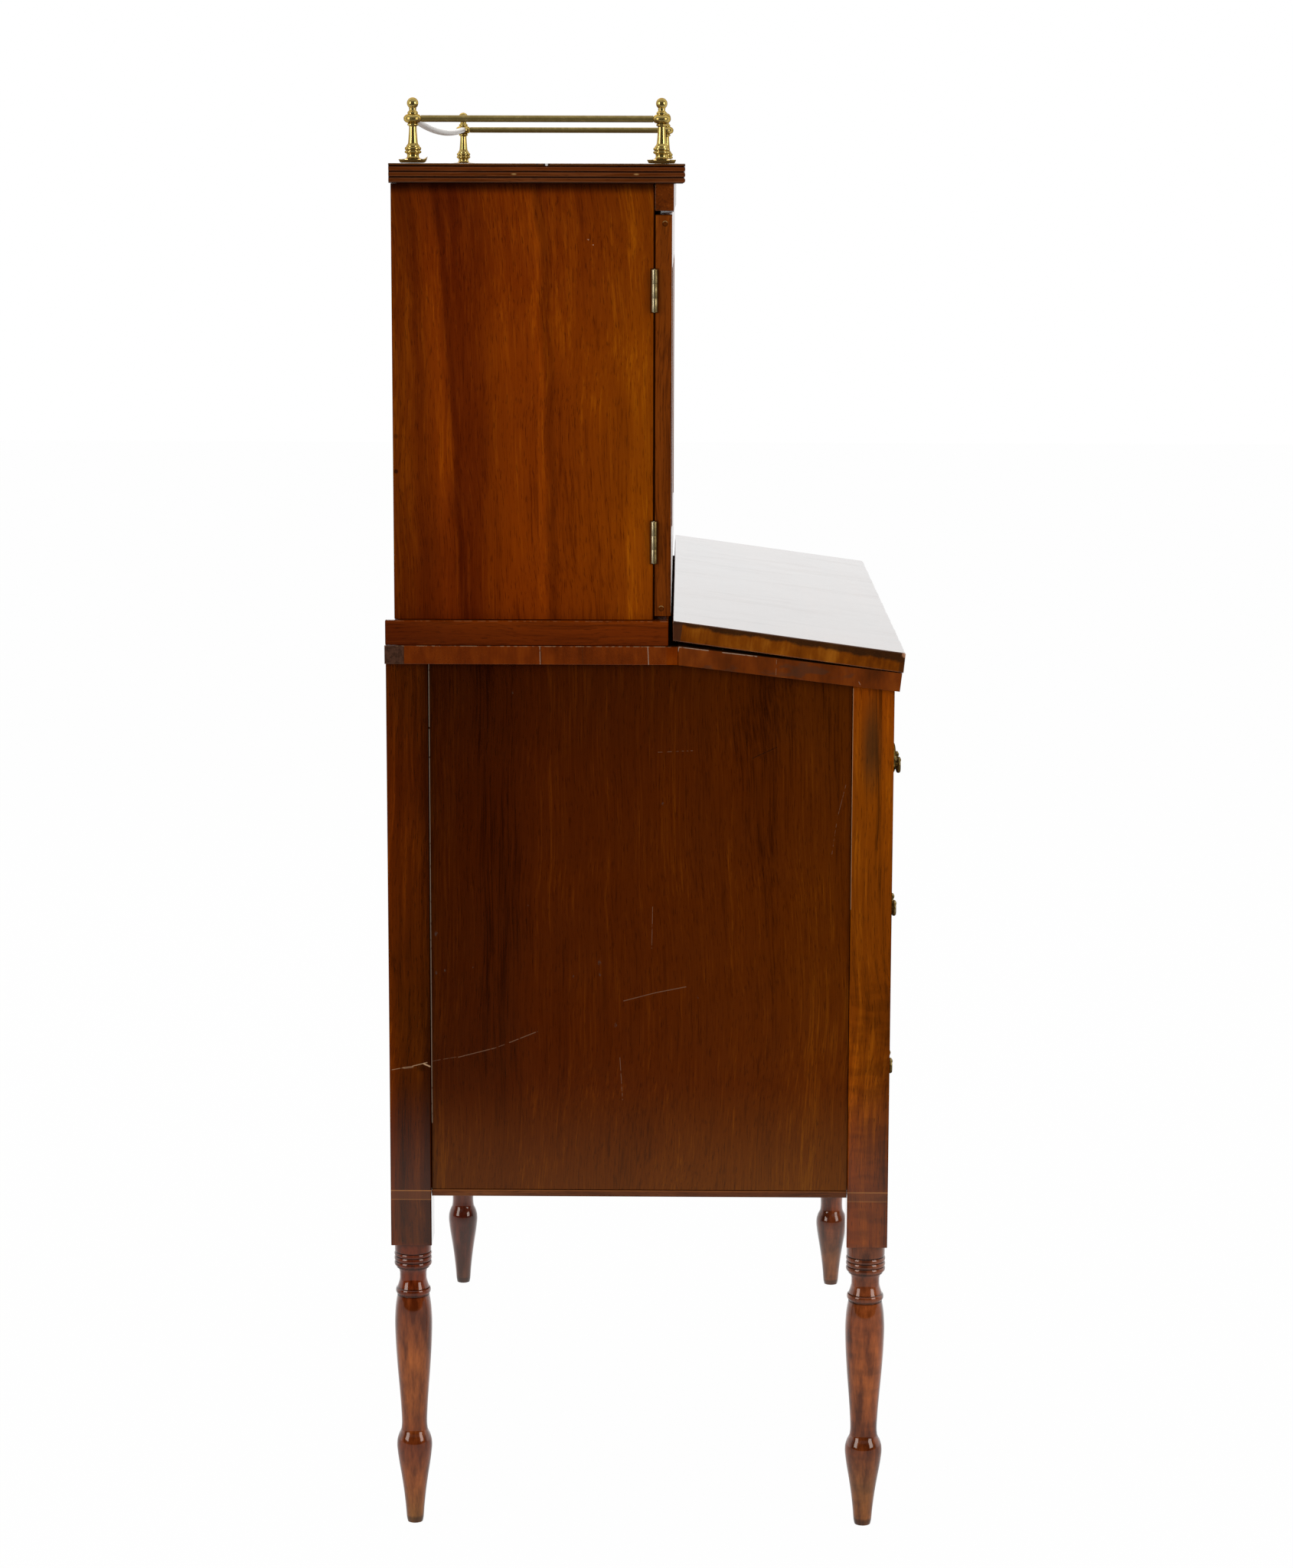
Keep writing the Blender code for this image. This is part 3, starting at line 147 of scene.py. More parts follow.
class Finish:
    """A material whose colour, height and roughness are built up in coats."""

    def __init__(self, name, tilt=0.0, metallic=0.0):
        self.material = bpy.data.materials.new(name)
        self.material.use_nodes = True
        self.tree = self.material.node_tree
        self.shader = self.tree.nodes["Principled BSDF"]
        self.set_input("Metallic", metallic)
        self.place = self.tree.nodes.new("ShaderNodeTexCoord").outputs["Object"]
        if tilt:
            inputs = {"Vector": self.place, "Rotation": (tilt, 0, 0)}
            self.place = node(self.tree, "Mapping", inputs).outputs[0]
        split = node(self.tree, "SeparateXYZ", [self.place])
        self.x, self.y, self.z = (Value(socket) for socket in split.outputs)
        self.bump = self.gloss = None

    def set_input(self, name, value):
        self.shader.inputs[name].default_value = value

    def noise(self, scale, detail=2.0, roughness=0.5, stretch=None):
        """Soft noise over the surface, squeezed in each direction by its stretch."""
        place = vector("MULTIPLY", self.place, stretch) if stretch else self.place
        return cloud(place, scale, detail, roughness)

    def away(self, spot, stretch=(1.0, 1.0, 1.0)):
        """Distance from a spot, with each direction counted by its stretch."""
        return vector("LENGTH", vector("MULTIPLY", vector("SUBTRACT", self.place, spot), stretch))

    def set_colour(self, socket):
        self.colour = socket
        self.tree.links.new(socket, self.shader.inputs["Base Color"])

    def set_height(self, height, depth=0.0):
        """Height of 0 to 1, where 1 stands depth metres out; the first call sets the depth."""
        self.height = height
        if not self.bump:
            self.bump = node(self.tree, "Bump", {"Strength": 1.0, "Distance": depth})
            self.tree.links.new(self.bump.outputs[0], self.shader.inputs["Normal"])
        self.tree.links.new(height.socket, self.bump.inputs["Height"])

    def set_rough(self, rough):
        self.rough = rough
        self.tree.links.new(rough.socket, self.shader.inputs["Roughness"])

    def paint(self, mask, colour):
        """Lay a colour over the surface where the mask is 1."""
        self.set_colour(blended(mask, self.colour, opaque(colour)))

    def shade(self, mask, amount):
        """Multiply the colour by amount, a number or a tint, where the mask is 1."""
        tint = amount if isinstance(amount, tuple) else (amount,) * 3
        self.set_colour(blended(mask, self.colour, opaque(tint), "MULTIPLY"))

    def grade(self, value, low, high, tints):
        """Multiply the colour by tints set evenly from low to high along a value."""
        share = node(self.tree, "MapRange", {"Value": value, "From Min": low, "From Max": high})
        tint = ramped(Value(share.outputs[0]), tints)
        self.set_colour(blended(1.0, self.colour, tint, "MULTIPLY"))

    def cut(self, mask, depth):
        """Sink the surface by depth, in units of the bump's own depth."""
        self.set_height(self.height - mask * depth)

    def dull(self, mask):
        """Take the shine off where the mask is 1, as grime and narrow gaps do."""
        keep = calc("SUBTRACT", 1.0, mask, clamp=True)
        self.gloss = self.gloss * keep if self.gloss else keep
        for name in ("Specular IOR Level", "Coat Weight"):
            socket = self.shader.inputs[name]
            self.tree.links.new((self.gloss * socket.default_value).socket, socket)

    def scratch_and_highlight(self, start, end, width, ragged, share, colour, depth=0.0):
        """A thin line from start to end, broken up along its length, for scratches and joints and
        for painted highlights along arrises. It is painted by a share, and cut in where it has a
        depth."""
        reach = tuple(b - a for a, b in zip(start, end))
        away = vector("SUBTRACT", self.place, start)
        along = calc("DIVIDE", vector("DOT_PRODUCT", away, reach), sum(v * v for v in reach),
                     clamp=True)
        foot = node(self.tree, "VectorMath", {0: reach, "Scale": along}, operation="SCALE")
        gap = vector("LENGTH", vector("SUBTRACT", away, foot.outputs[0]))
        breaks = fade(self.noise(260.0), 0.5 - ragged * 0.3, 0.62 - ragged * 0.3)
        line = fade(gap, width, width * 0.25) * breaks
        self.paint(line * share, colour)
        if depth:
            self.cut(line, depth)

    def edge(self, low, high, width, ragged=0.0):
        """Mask of a board's arrises: the second smallest distance to its six faces."""
        x, y, z = (calc("MINIMUM", value - float(a), float(b) - value)
                   for value, a, b in zip((self.x, self.y, self.z), low, high))
        rest = calc("MINIMUM", calc("MAXIMUM", x, y), z)
        second = calc("MAXIMUM", calc("MINIMUM", x, y), rest)
        spread = self.noise(45.0, 4.0, 0.7) * (ragged * width * 2.0)
        return fade(second + spread, width * 1.5, width)


def mahogany(name, grain, tones, bands=1.6, streaks=0.9, fibres=0.8, mist=0.8, rough=0.2,
             polish=0.6, tilt=0.0, seed=0.0, bend=None, pore_share=0.45, relief=0.000012):
    """Polished mahogany: tone = wide bands + streaks + fibres, each noise drawn out along the
    grain, plus an even cloud. Dark short pores lie over it."""
    finish = Finish(name, tilt)
    x, y, z = finish.x, finish.y, finish.z
    a, b, along = {"X": (y, z, x), "Y": (x, z, y), "Z": (x, y, z)}[grain]
    drift = finish.noise(2.6) * 0.06 + seed * 0.731
    a, b = a + drift, b + drift
    if bend:
        strength, start = bend
        run = calc("MAXIMUM", along - start, 0.0)
        b = run * run * strength + b
    spot = node(finish.tree, "CombineXYZ", [a, b, along + seed * 0.37]).outputs[0]

    def drawn(across, length, detail, roughness):
        """Noise with one scale across the grain and a smaller one along it."""
        return cloud(vector("MULTIPLY", spot, (across, across, length)), 1.0, detail, roughness)

    fine = drawn(130.0, 3.2, 3.0, 0.6)
    thread = drawn(560.0, 14.0, 2.0, 0.6)
    tone = (drawn(17.0, 1.1, 3.0, 0.55) * bands + (0.5 - 0.5 * (bands + streaks + fibres + mist))
            + fine * streaks + thread * fibres + finish.noise(5.5, 3.0) * mist)
    finish.set_colour(ramped(tone, tones, 0.08, 0.92, ease=True))
    pore = fade(drawn(1000.0, 90.0, 1.0, 0.5), 0.58, 0.70)
    finish.paint(pore * pore_share, tuple(v * 0.5 for v in tones[0]))
    finish.set_height(thread * 0.6 + fine * 0.6 - pore * 0.5, relief)
    finish.set_rough(thread * 0.06 + (finish.noise(14.0, 4.0, 0.65) * 0.16 + (rough - 0.08)))
    finish.set_input("Specular Tint", opaque((1.0, 0.55, 0.25)))
    finish.set_input("Coat Weight", polish * 0.6)
    finish.set_input("Coat Roughness", 0.07)
    return finish


def shell(rings):
    """A closed surface through rings of points, (rows, columns, 3), with a fan over each end. It
    faces outwards, which the sign of its volume, the sum of its cones to its middle, decides."""
    rows, columns, _ = rings.shape
    count = rows * columns
    index = np.arange(count).reshape(rows, columns)
    after = np.roll(index, -1, axis=1)
    quads = np.stack([index[:-1], after[:-1], after[1:], index[1:]], axis=-1).reshape(-1, 4)
    fans = np.concatenate([
        np.stack([after[0], index[0], np.full(columns, count)], axis=-1),
        np.stack([index[-1], after[-1], np.full(columns, count + 1)], axis=-1)])
    points = np.concatenate([rings.reshape(-1, 3), rings[:1].mean(1), rings[-1:].mean(1)])
    halves = np.concatenate([quads[:, :3], quads[:, [0, 2, 3]], fans])
    p, q, r = (points[halves[:, k]] - points.mean(0) for k in range(3))
    if np.einsum("ij,ij->i", p, np.cross(q, r)).sum() < 0:
        quads, fans = quads[:, ::-1], fans[:, ::-1]
    return points, [*quads.tolist(), *fans.tolist()]


def added(name, data):
    """A new object in the scene."""
    made = bpy.data.objects.new(name, data)
    bpy.context.scene.collection.objects.link(made)
    return made


def placed(name, mesh, finish, body, replaces):
    """An object of one finish that rides on a body and stands for the nodes that it replaces."""
    mesh.materials.append(finish.material)
    mesh.shade_smooth()
    piece = added(name, mesh)
    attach(piece, body)
    if replaces:
        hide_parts(*replaces)
    return piece


def make_piece(name, shells, finish, body, replaces=(), crease=32.0, flat=False):
    """One object from closed surfaces; crease is the angle past which an edge stays sharp, and
    flat keeps broad faces level where they meet an eased arris."""
    points, faces, start = [], [], 0
    for spots, polygons in shells:
        points.append(spots)
        faces += [[start + i for i in face] for face in polygons]
        start += len(spots)
    mesh = bpy.data.meshes.new(name)
    mesh.from_pydata(np.concatenate(points).tolist(), [], faces)
    piece = placed(name, mesh, finish, body, replaces)
    mesh.set_sharp_from_angle(angle=math.radians(crease))
    if flat:
        piece.modifiers.new("true_faces", "WEIGHTED_NORMAL").keep_sharp = True


def eased(points, steps):
    """A smooth run through (height, radius) points: cubic pieces whose slope at each point is
    the slope between its neighbours, limited where the run turns so that it never overshoots."""
    z, r = np.array(points, float).T
    rise = np.diff(r) / np.diff(z)
    slope = np.zeros(len(z))
    slope[0], slope[-1] = rise[0], rise[-1]
    keep = rise[:-1] * rise[1:] > 0
    both = np.where(keep, rise[:-1] + rise[1:], 1)
    slope[1:-1] = np.where(keep, 2 * rise[:-1] * rise[1:] / both, 0)
    share = np.linspace(0.0, 1.0, steps, endpoint=False)[:, None]
    span = np.diff(z)
    a, b = 2 * share**3 - 3 * share**2 + 1, share**3 - 2 * share**2 + share
    c, d = -2 * share**3 + 3 * share**2, share**3 - share**2
    height = (z[:-1] + share * span).T.ravel()
    radius = (a * r[:-1] + b * span * slope[:-1] + c * r[1:] + d * span * slope[1:]).T.ravel()
    return np.stack([np.append(height, z[-1]), np.append(radius, r[-1])], axis=1)


def bead(low, high, edge, crown, steps=8):
    """Half an ellipse between two heights, from the edge radius out to the crown."""
    turn = np.linspace(0.0, math.pi, steps + 1)
    height = (low + high) / 2 - (high - low) / 2 * np.cos(turn)
    return np.stack([height, edge + (crown - edge) * np.sin(turn)], axis=1)


def turned(profile, x=0.0, y=0.0, sides=72):
    """Rings of a lathe profile of (height, radius) about an upright line."""
    angle = np.arange(sides) * (2 * math.pi / sides)
    height, radius = profile[:, 0][:, None], profile[:, 1][:, None]
    rings = [x + radius * np.cos(angle), y + radius * np.sin(angle), height * np.ones(sides)]
    return np.stack(rings, axis=-1)


SIDES = (("left", -1), ("right", 1))
TURNING_TOP, POST, POST_FACE = 0.277, 0.038, 0.399
REED_EDGE, REED_CROWN = 0.0163, 0.0177
leg_profile = np.concatenate([
    eased([(0.0, 0.0072), (0.004, 0.0080), (0.014, 0.0088), (0.029, 0.0104), (0.044, 0.0125),
           (0.0595, 0.0150), (0.067, 0.0160), (0.074, 0.0166), (0.078, 0.0164), (0.084, 0.0149),
           (0.090, 0.0124), (0.0965, 0.0119), (0.111, 0.0125), (0.127, 0.0136),
           (0.157, 0.0159), (0.180, 0.0172), (0.196, 0.0176), (0.210, 0.0170), (0.219, 0.0159),
           (0.2235, 0.0151)], 5),
    [(0.2236, 0.0146), (0.2248, 0.0146)],
    bead(0.2250, 0.2306, 0.0150, 0.0165),
    eased([(0.2308, 0.0151), (0.2350, 0.0136), (0.2400, 0.0126), (0.2440, 0.0126),
           (0.2470, 0.0132), (0.2495, 0.0144)], 5),
    [(0.2497, 0.0155), (0.2512, 0.0158)],
    *(bead(low, low + 0.0044, REED_EDGE, REED_CROWN, 6) for low in (0.2516, 0.2562, 0.2608)),
    [(0.2656, 0.0168), (0.2668, 0.0172), (TURNING_TOP, 0.0173)],
])


def oblongs(levels, middle, half, corner, steps=4):
    """Rings of an oblong with rounded corners, one for each (height, inset): each corner is a
    quarter circle of steps pieces. A height may be a function of the ring's own depths, for a
    top cut to a slope."""
    turn = np.linspace(0.0, math.pi / 2, steps + 1)
    turns = np.concatenate([turn + k * math.pi / 2 for k in range(4)])
    east, north = np.repeat([1, -1, -1, 1], steps + 1), np.repeat([1, 1, -1, -1], steps + 1)
    rings = []
    for height, inset in levels:
        x = middle[0] + east * (half[0] - corner) + (corner - inset) * np.cos(turns)
        y = middle[1] + north * (half[1] - corner) + (corner - inset) * np.sin(turns)
        level = height(y) if callable(height) else np.full(len(y), height)
        rings.append(np.stack([x, y, level], axis=-1))
    return np.array(rings)


# Tints at even heights, or from front to back, that the colours are multiplied by.
POST_Z = {"front": [(1.32, 1.00, 0.3), (1.44, 1.20, 0.3), (1.44, 1.28, 0.3), (1.52, 1.36, 0.3),
                    (1.84, 1.69, 0.3), (1.94, 1.53, 0.3)],
          "back": [(1.22, 1.20, 0.3), (1.04, 0.86, 0.3), (1.06, 1.01, 0.3), (1.06, 0.91, 0.3),
                   (0.77, 0.58, 0.3), (0.66, 0.61, 0.3)]}
TURNED_Z = {"front": [(1.42, 1.44, 1.0), (0.92, 1.02, 1.0), (1.03, 0.72, 0.6), (1.22, 0.98, 0.8),
                      (1.50, 1.18, 0.8), (1.15, 0.82, 0.6), (0.86, 0.66, 0.8), (0.80, 0.70, 1.0)],
            "back": [(0.98, 1.26, 1.0), (1.30, 1.12, 0.9), (0.80, 0.48, 0.4), (1.40, 1.17, 0.8),
                     (1.42, 1.18, 0.8), (1.06, 0.80, 0.7), (0.77, 0.38, 0.3), (0.64, 0.33, 0.3)]}
BACK_POST_Y = [(0.58, 0.58, 0.6), (0.98, 0.98, 0.9), (1.12, 1.12, 1.0), (1.22, 1.22, 1.0),
               (1.55, 1.5, 1.2)]
# Tints of the lower and upper half of a post, each from a start to an end in depth.
POST_TINTS = {
    "front": [("lower", -0.200, -0.2245, (0.80, 0.80, 1.0)),
              ("lower", -0.203, -0.190, (1.18, 1.12, 1.0)),
              ("upper", -0.205, -0.190, (0.90, 0.90, 1.0)),
              ("upper", -0.206, -0.222, (1.08, 1.08, 1.0))],
    "back": [("lower", 0.214, 0.205, (0.84, 0.78, 0.8)),
             ("lower", 0.226, 0.236, (1.08, 0.98, 0.9)),
             ("upper", 0.185, 0.190, (1.10, 1.04, 1.0))]}
# The pattern's heights, and where the lathe put them on the front and on the back legs.
PATTERN = (0.0, 0.0965, 0.2252, 0.2608, TURNING_TOP)
LATHE = {"front": (0.0, 0.0952, 0.2224, 0.2600, TURNING_TOP),
         "back": (0.0, 0.0990, 0.2264, 0.2630, TURNING_TOP)}
POST_TONES = {"front": [(0.040, 0.010, 0.003), (0.115, 0.027, 0.003), (0.20, 0.055, 0.006)],
              "back": [(0.020, 0.004, 0.001), (0.056, 0.011, 0.001), (0.105, 0.024, 0.002)]}
BAND = (0.3222, 0.3298)
# Painted shade in the narrow hollows of the turning and at the very foot, as (low, high, tone).
TURNING_SHADE = ((0.2494, 0.2517, 0.45), (0.2556, 0.2566, 0.30), (0.2602, 0.2612, 0.30),
          (0.2648, 0.2662, 0.35), (0.2228, 0.2252, 0.40), (0.2302, 0.2312, 0.5), (0.0, 0.006, 0.45))


def leg_wood(side, depth, seed):
    """Dark turned wood below, a lighter square above, with the veneer band and its two lines."""
    front = depth == "front"
    finish = mahogany(f"mahogany_leg_{depth}_{side}", "Z", POST_TONES[depth], seed=seed,
                      bands=1.2, streaks=1.0, fibres=0.7, rough=0.13, polish=1.6)
    finish.set_input("Specular IOR Level", 0.2)
    y, z = finish.y, finish.z
    finish.grade(z, 0.28, 0.83, POST_Z[depth])
    if not front:
        finish.grade(y, 0.2010, 0.2370, BACK_POST_Y)
    lower = fade(z, 0.56, 0.48)
    for part, start, end, tint in POST_TINTS[depth]:
        here = lower if part == "lower" else 1.0 - lower
        finish.shade(here * fade(y, start, end), tint)
    square = finish.colour
    warm = finish.noise(1.0, 4.0, 0.65, (75.0, 75.0, 16.0))
    finish.set_colour(ramped(warm, [(0.085, 0.021, 0.004), (0.29, 0.090, 0.022)], 0.38, 0.64))
    finish.grade(z, 0.0, TURNING_TOP, TURNED_Z[depth])
    if side == "right":
        finish.shade(1.0, (0.85, 0.80, 1.0) if front else (0.45, 0.36, 0.8))
    finish.set_colour(blended(fade(z, 0.270, 0.282), finish.colour, square))
    # Painted shade in each hollow, moved to where the lathe put it.
    for low, high, tone in TURNING_SHADE:
        low, high = (float(np.interp(v, PATTERN, LATHE[depth])) for v in (low, high))
        width = high - low
        finish.shade(fade(abs(z - (low + high) / 2), width * 0.75, width * 0.25), tone)
    finish.paint((z > BAND[0]) * (z < BAND[1]) * 0.55, (0.125, 0.036, 0.010))
    for height, share in ((BAND[1] + 0.0005, 0.85), (BAND[0] - 0.0005, 0.45)):
        finish.paint(fade(abs(z - height), 0.0007, 0.0003) * share, (0.30, 0.115, 0.030))
    if front:
        figure = finish.noise(1.0, 2.0, 0.5, (20.0, 30.0, 95.0))
        finish.shade(fade(z, 0.56, 0.50) * fade(figure, 0.42, 0.62), 0.78)
        if side == "left":
            gap = finish.away((-POST_FACE, -0.2055, 0.752), (1.0, 1 / 0.011, 1 / 0.052))
            finish.paint(fade(gap, 0.1, 1.2, 0.75, 0.0), (0.045, 0.020, 0.006))
    return finish


# The boards over the case: level, thickness, the depth where the bed bends down and its slope.
TOP, TOP_THICK, BEND, BED_SLOPE = 0.8438, 0.017, -0.0286, math.radians(6.7)


def under_top(y):
    """Underside of the top's boards, the level one and the bed that slopes down from the bend,
    less the gap that the post keeps to them."""
    sloping = TOP + (y - BEND) * math.tan(BED_SLOPE) - TOP_THICK / math.cos(BED_SLOPE)
    return np.minimum(sloping, TOP - TOP_THICK) - 0.0003


# The front legs were turned a little stouter.
ARRIS, STOUT = 0.0006, {"front": 1.05, "back": 1.0}
# Pale lines, as (y, z, y, z, width, share): a painted highlight on a front arris, a gash at the
# back.
FRONT_ARRIS_HIGHLIGHT = [(-0.1881, 0.60, -0.1881, 0.805, 0.0008, 0.55)]
GASH = [(0.2357, 0.4461, 0.2243, 0.4483, 0.0005, 0.45), (0.2243, 0.448, 0.2165, 0.449, 0.0013, 0.3),
        (0.2165, 0.4497, 0.203, 0.4532, 0.0006, 0.6), (0.206, 0.452, 0.2, 0.4493, 0.0010, 0.85)]
for seed, (depth, side) in enumerate((d, s) for d in ("front", "back") for s in ("left", "right")):
    name, face = f"leg_{depth}_{side}", POST_FACE if side == "right" else -POST_FACE
    low, high = (np.array(corner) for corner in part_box(name))
    middle = (low + high) / 2
    top = under_top if depth == "front" else float(high[2])
    square = oblongs([(TURNING_TOP, ARRIS), (TURNING_TOP + ARRIS * 0.3, ARRIS * 0.3),
                      (TURNING_TOP + ARRIS, 0.0), (top, 0.0)], middle, (POST / 2, POST / 2), ARRIS)
    lathe = np.stack([np.interp(leg_profile[:, 0], PATTERN, LATHE[depth]),
                      leg_profile[:, 1] * STOUT[depth]], axis=1)
    finish = leg_wood(side, depth, 3.1 + seed)
    finish.dull(finish.edge(low, high, 0.0008, 0.2))
    marks = FRONT_ARRIS_HIGHLIGHT if depth == "front" else []
    if (depth, side) == ("back", "left"):
        finish.shade(fade(finish.away((face, 0.2085, 0.4485)), 0.0060, 0.0015), 0.60)
        marks = GASH
    # Painted highlights along the front posts' arris, and the gash on the back left post.
    for y0, z0, y1, z1, width, share in marks:
        finish.scratch_and_highlight((face, y0, z0), (face, y1, z1), width, 0.8, share, (0.48, 0.30, 0.17))
    shells = [shell(turned(lathe, *middle[:2])), shell(square)]
    make_piece(f"turned_{name}", shells, finish, "case", [name], flat=True)

# ---------------------------------------------------------------------------
# Side panels
# One wide mahogany board at each end of the case, tongued between the posts and set back a
# little from their faces. The left one has long scratches, dents and a dark edge by the post.

def softened(name, new_name, finish, body="case", width=0.0006):
    """A board with its arrises eased: the solid's own faces, merged and given a small bevel."""
    mesh = nodes[name].data.copy()
    mesh.name = new_name
    mesh.materials.clear()
    piece = placed(new_name, mesh, finish, body, [name])
    piece.modifiers.new("joined", "WELD").merge_threshold = 0.00001
    arris = piece.modifiers.new("arris", "BEVEL")
    arris.width, arris.segments, arris.limit_method = width, 2, "ANGLE"
    arris.angle_limit = math.radians(30.0)
    piece.modifiers.new("true_faces", "WEIGHTED_NORMAL")
    return piece


PANEL_Y = [(1.48, 1.79, 0.3), (1.33, 1.44, 0.3), (1.19, 1.19, 0.3), (1.01, 0.94, 0.3),
           (0.60, 0.53, 0.3)]
PANEL_Z = [(1.56, 2.00, 0.3), (1.14, 1.03, 0.3), (1.14, 1.12, 0.3), (1.10, 1.08, 0.3),
           (0.95, 0.90, 0.3), (0.68, 0.68, 0.3)]
PANEL_FACE = -0.3965
# Scratches on the left panel, as (y, z, y, z, width, how ragged), and dents as (y, z, radius).
SCRATCHES = (
    (0.1980, 0.4540, 0.1760, 0.4580, 0.00030, 0.5), (0.1740, 0.4578, 0.1412, 0.4664, 0.00065, 0.7),
    (0.1412, 0.4664, 0.1300, 0.4705, 0.00040, 0.2), (0.1265, 0.4720, 0.1006, 0.4826, 0.00065, 0.7),
    (0.0205, 0.5121, -0.0090, 0.5200, 0.0006, 0.8), (-0.0090, 0.52, -0.0369, 0.5257, 0.00065, 0.8),
    (-0.1826, 0.7155, -0.1752, 0.685, 0.0004, 0.4), (-0.1752, 0.685, -0.17, 0.6470, 0.00035, 0.2),
    (-0.0060, 0.6010, -0.0052, 0.562, 0.00045, 0.3), (0.0240, 0.4580, 0.0215, 0.418, 0.0005, 0.4),
    (-0.0107, 0.7453, -0.0422, 0.7469, 0.00045, 0.1))
DENTS = ((0.1937, 0.5745, 0.0022), (0.1940, 0.5380, 0.0014), (0.1860, 0.5400, 0.0012),
         (0.0430, 0.5480, 0.0020), (0.0425, 0.5370, 0.0013), (0.0280, 0.4890, 0.0018),
         (0.0670, 0.5350, 0.0010), (0.1222, 0.8000, 0.0010), (0.1090, 0.6020, 0.0008),
         (-0.0151, 0.6977, 0.0014), (0.1600, 0.5430, 0.0007), (-0.0480, 0.5160, 0.0012))


def panel_wood(side, seed):
    """Dark red-brown straight grain, lighter and warmer towards the front and the foot. The
    gradients are partly the wood's own and partly painted light: painted shade high up and
    towards the back post, and a painted reflection of the floor low down.
    """
    finish = mahogany(f"mahogany_side_{side}", "Z",
                      [(0.022, 0.003, 0.0006), (0.056, 0.0088, 0.0009), (0.108, 0.0220, 0.0015)],
                      bands=0.8, streaks=0.5, fibres=0.75, mist=0.4, seed=seed, rough=0.15,
                      polish=0.3, pore_share=0.4)
    y, z = finish.y, finish.z
    # Painted shade in the recess beside the back post; its narrow gap loses its shine.
    finish.shade(fade(y, 0.190, 0.1995), 0.70)
    finish.dull(fade(y, 0.1985, 0.1990))
    finish.grade(y, -0.19, 0.20, PANEL_Y)
    finish.grade(z, 0.33, 0.83, PANEL_Z)
    # Tints of three corners, as (depth span, height span, tint); the pale bluish one low at the
    # back is a painted reflection of the floor.
    for span, rise, tint in (((0.11, 0.18), (0.46, 0.38), (1.36, 1.46, 2.6)),
                             ((-0.09, -0.15), (0.46, 0.38), (0.92, 0.88, 1.3)),
                             ((-0.02, -0.08), (0.68, 0.76), (1.13, 1.18, 1.0))):
        finish.shade(fade(y, *span) * fade(z, *rise), tint)
    return finish


def wear_and_highlight_panel(finish):
    """The pale line by the back post, which is a painted highlight on its arris, the scratches, one
    of them dark, and the dents.
    """
    face = PANEL_FACE
    # A painted highlight: the pale line along the back post's edge.
    finish.scratch_and_highlight((face, 0.1988, 0.3950), (face, 0.1988, 0.8265), 0.0007, 0.75, 0.5,
                   (0.44, 0.32, 0.23))
    for y0, z0, y1, z1, width, ragged in SCRATCHES:
        finish.scratch_and_highlight((face, y0, z0), (face, y1, z1), width, ragged, 0.75,
                       (0.150, 0.075, 0.045), 2.5)
    finish.scratch_and_highlight((face, -0.0969, 0.7400), (face, -0.1192, 0.7504), 0.00055, 0.7, 0.75,
                   (0.012, 0.004, 0.002), 2.5)
    for y, z, radius in DENTS:
        gap = finish.away((face, y, z), (1.0, 1.0, 0.6))
        dent = fade(gap, radius, radius * 0.4) * fade(finish.noise(700.0), 0.42, 0.56)
        finish.paint(dent * 0.7, (0.060, 0.036, 0.028))
        finish.cut(dent, 4.0)


for side, sign in SIDES:
    finish = panel_wood(side, 7.0 + sign)
    if side == "left":
        wear_and_highlight_panel(finish)
    softened(f"side_panel_{side}", f"side_board_{side}", finish)

# ---------------------------------------------------------------------------
# Bottom board, dust frames, top rail and back board
# The front edges of the rails are mahogany; the frames behind them and the back board are plain
# pine, left bare and darkened by age. They are tenoned and glued between the posts.

carcase = mahogany("mahogany_carcase", "X",
                   [(0.035, 0.007, 0.002), (0.090, 0.020, 0.003), (0.155, 0.042, 0.006)],
                   seed=11.0, rough=0.26, polish=0.3, fibres=0.9)


def pine(name, grain, seed, age):
    """Bare old pine: wide soft bands of early and late wood along the grain, a grey-brown skin,
    and darker grime towards the low places of an even cloud."""
    tones = [tuple(age * v for v in tone)
             for tone in ((0.13, 0.060, 0.022), (0.27, 0.145, 0.058), (0.40, 0.245, 0.110))]
    finish = mahogany(name, grain, tones, bands=1.9, streaks=1.2, fibres=0.5, mist=0.9,
                      rough=0.62, polish=0.0, seed=seed, pore_share=0.15, relief=0.00008)
    finish.shade(fade(finish.noise(9.0, 5.0, 0.7), 0.52, 0.72), 0.62)
    return finish


def seams(finish, across, joints):
    """Open joints between boards at places along a value: dark lines that are cut in."""
    for joint in joints:
        seam = fade(abs(across - joint), 0.0012, 0.0004)
        finish.paint(seam * 0.85, (0.018, 0.010, 0.006))
        finish.cut(seam, 6.0)


bottom = mahogany("mahogany_bottom", "Y",
                  [(0.035, 0.008, 0.003), (0.085, 0.020, 0.005), (0.150, 0.042, 0.010)],
                  seed=12.0, rough=0.22, polish=0.5)
# A painted highlight: a pale line near the board's top arris.
bottom.paint(fade(bottom.z, 0.3296, 0.3306) * fade(bottom.z, 0.3325, 0.3315) * 0.6,
             (0.22, 0.070, 0.018))
softened("case_bottom", "bottom_board", bottom, width=0.0007)

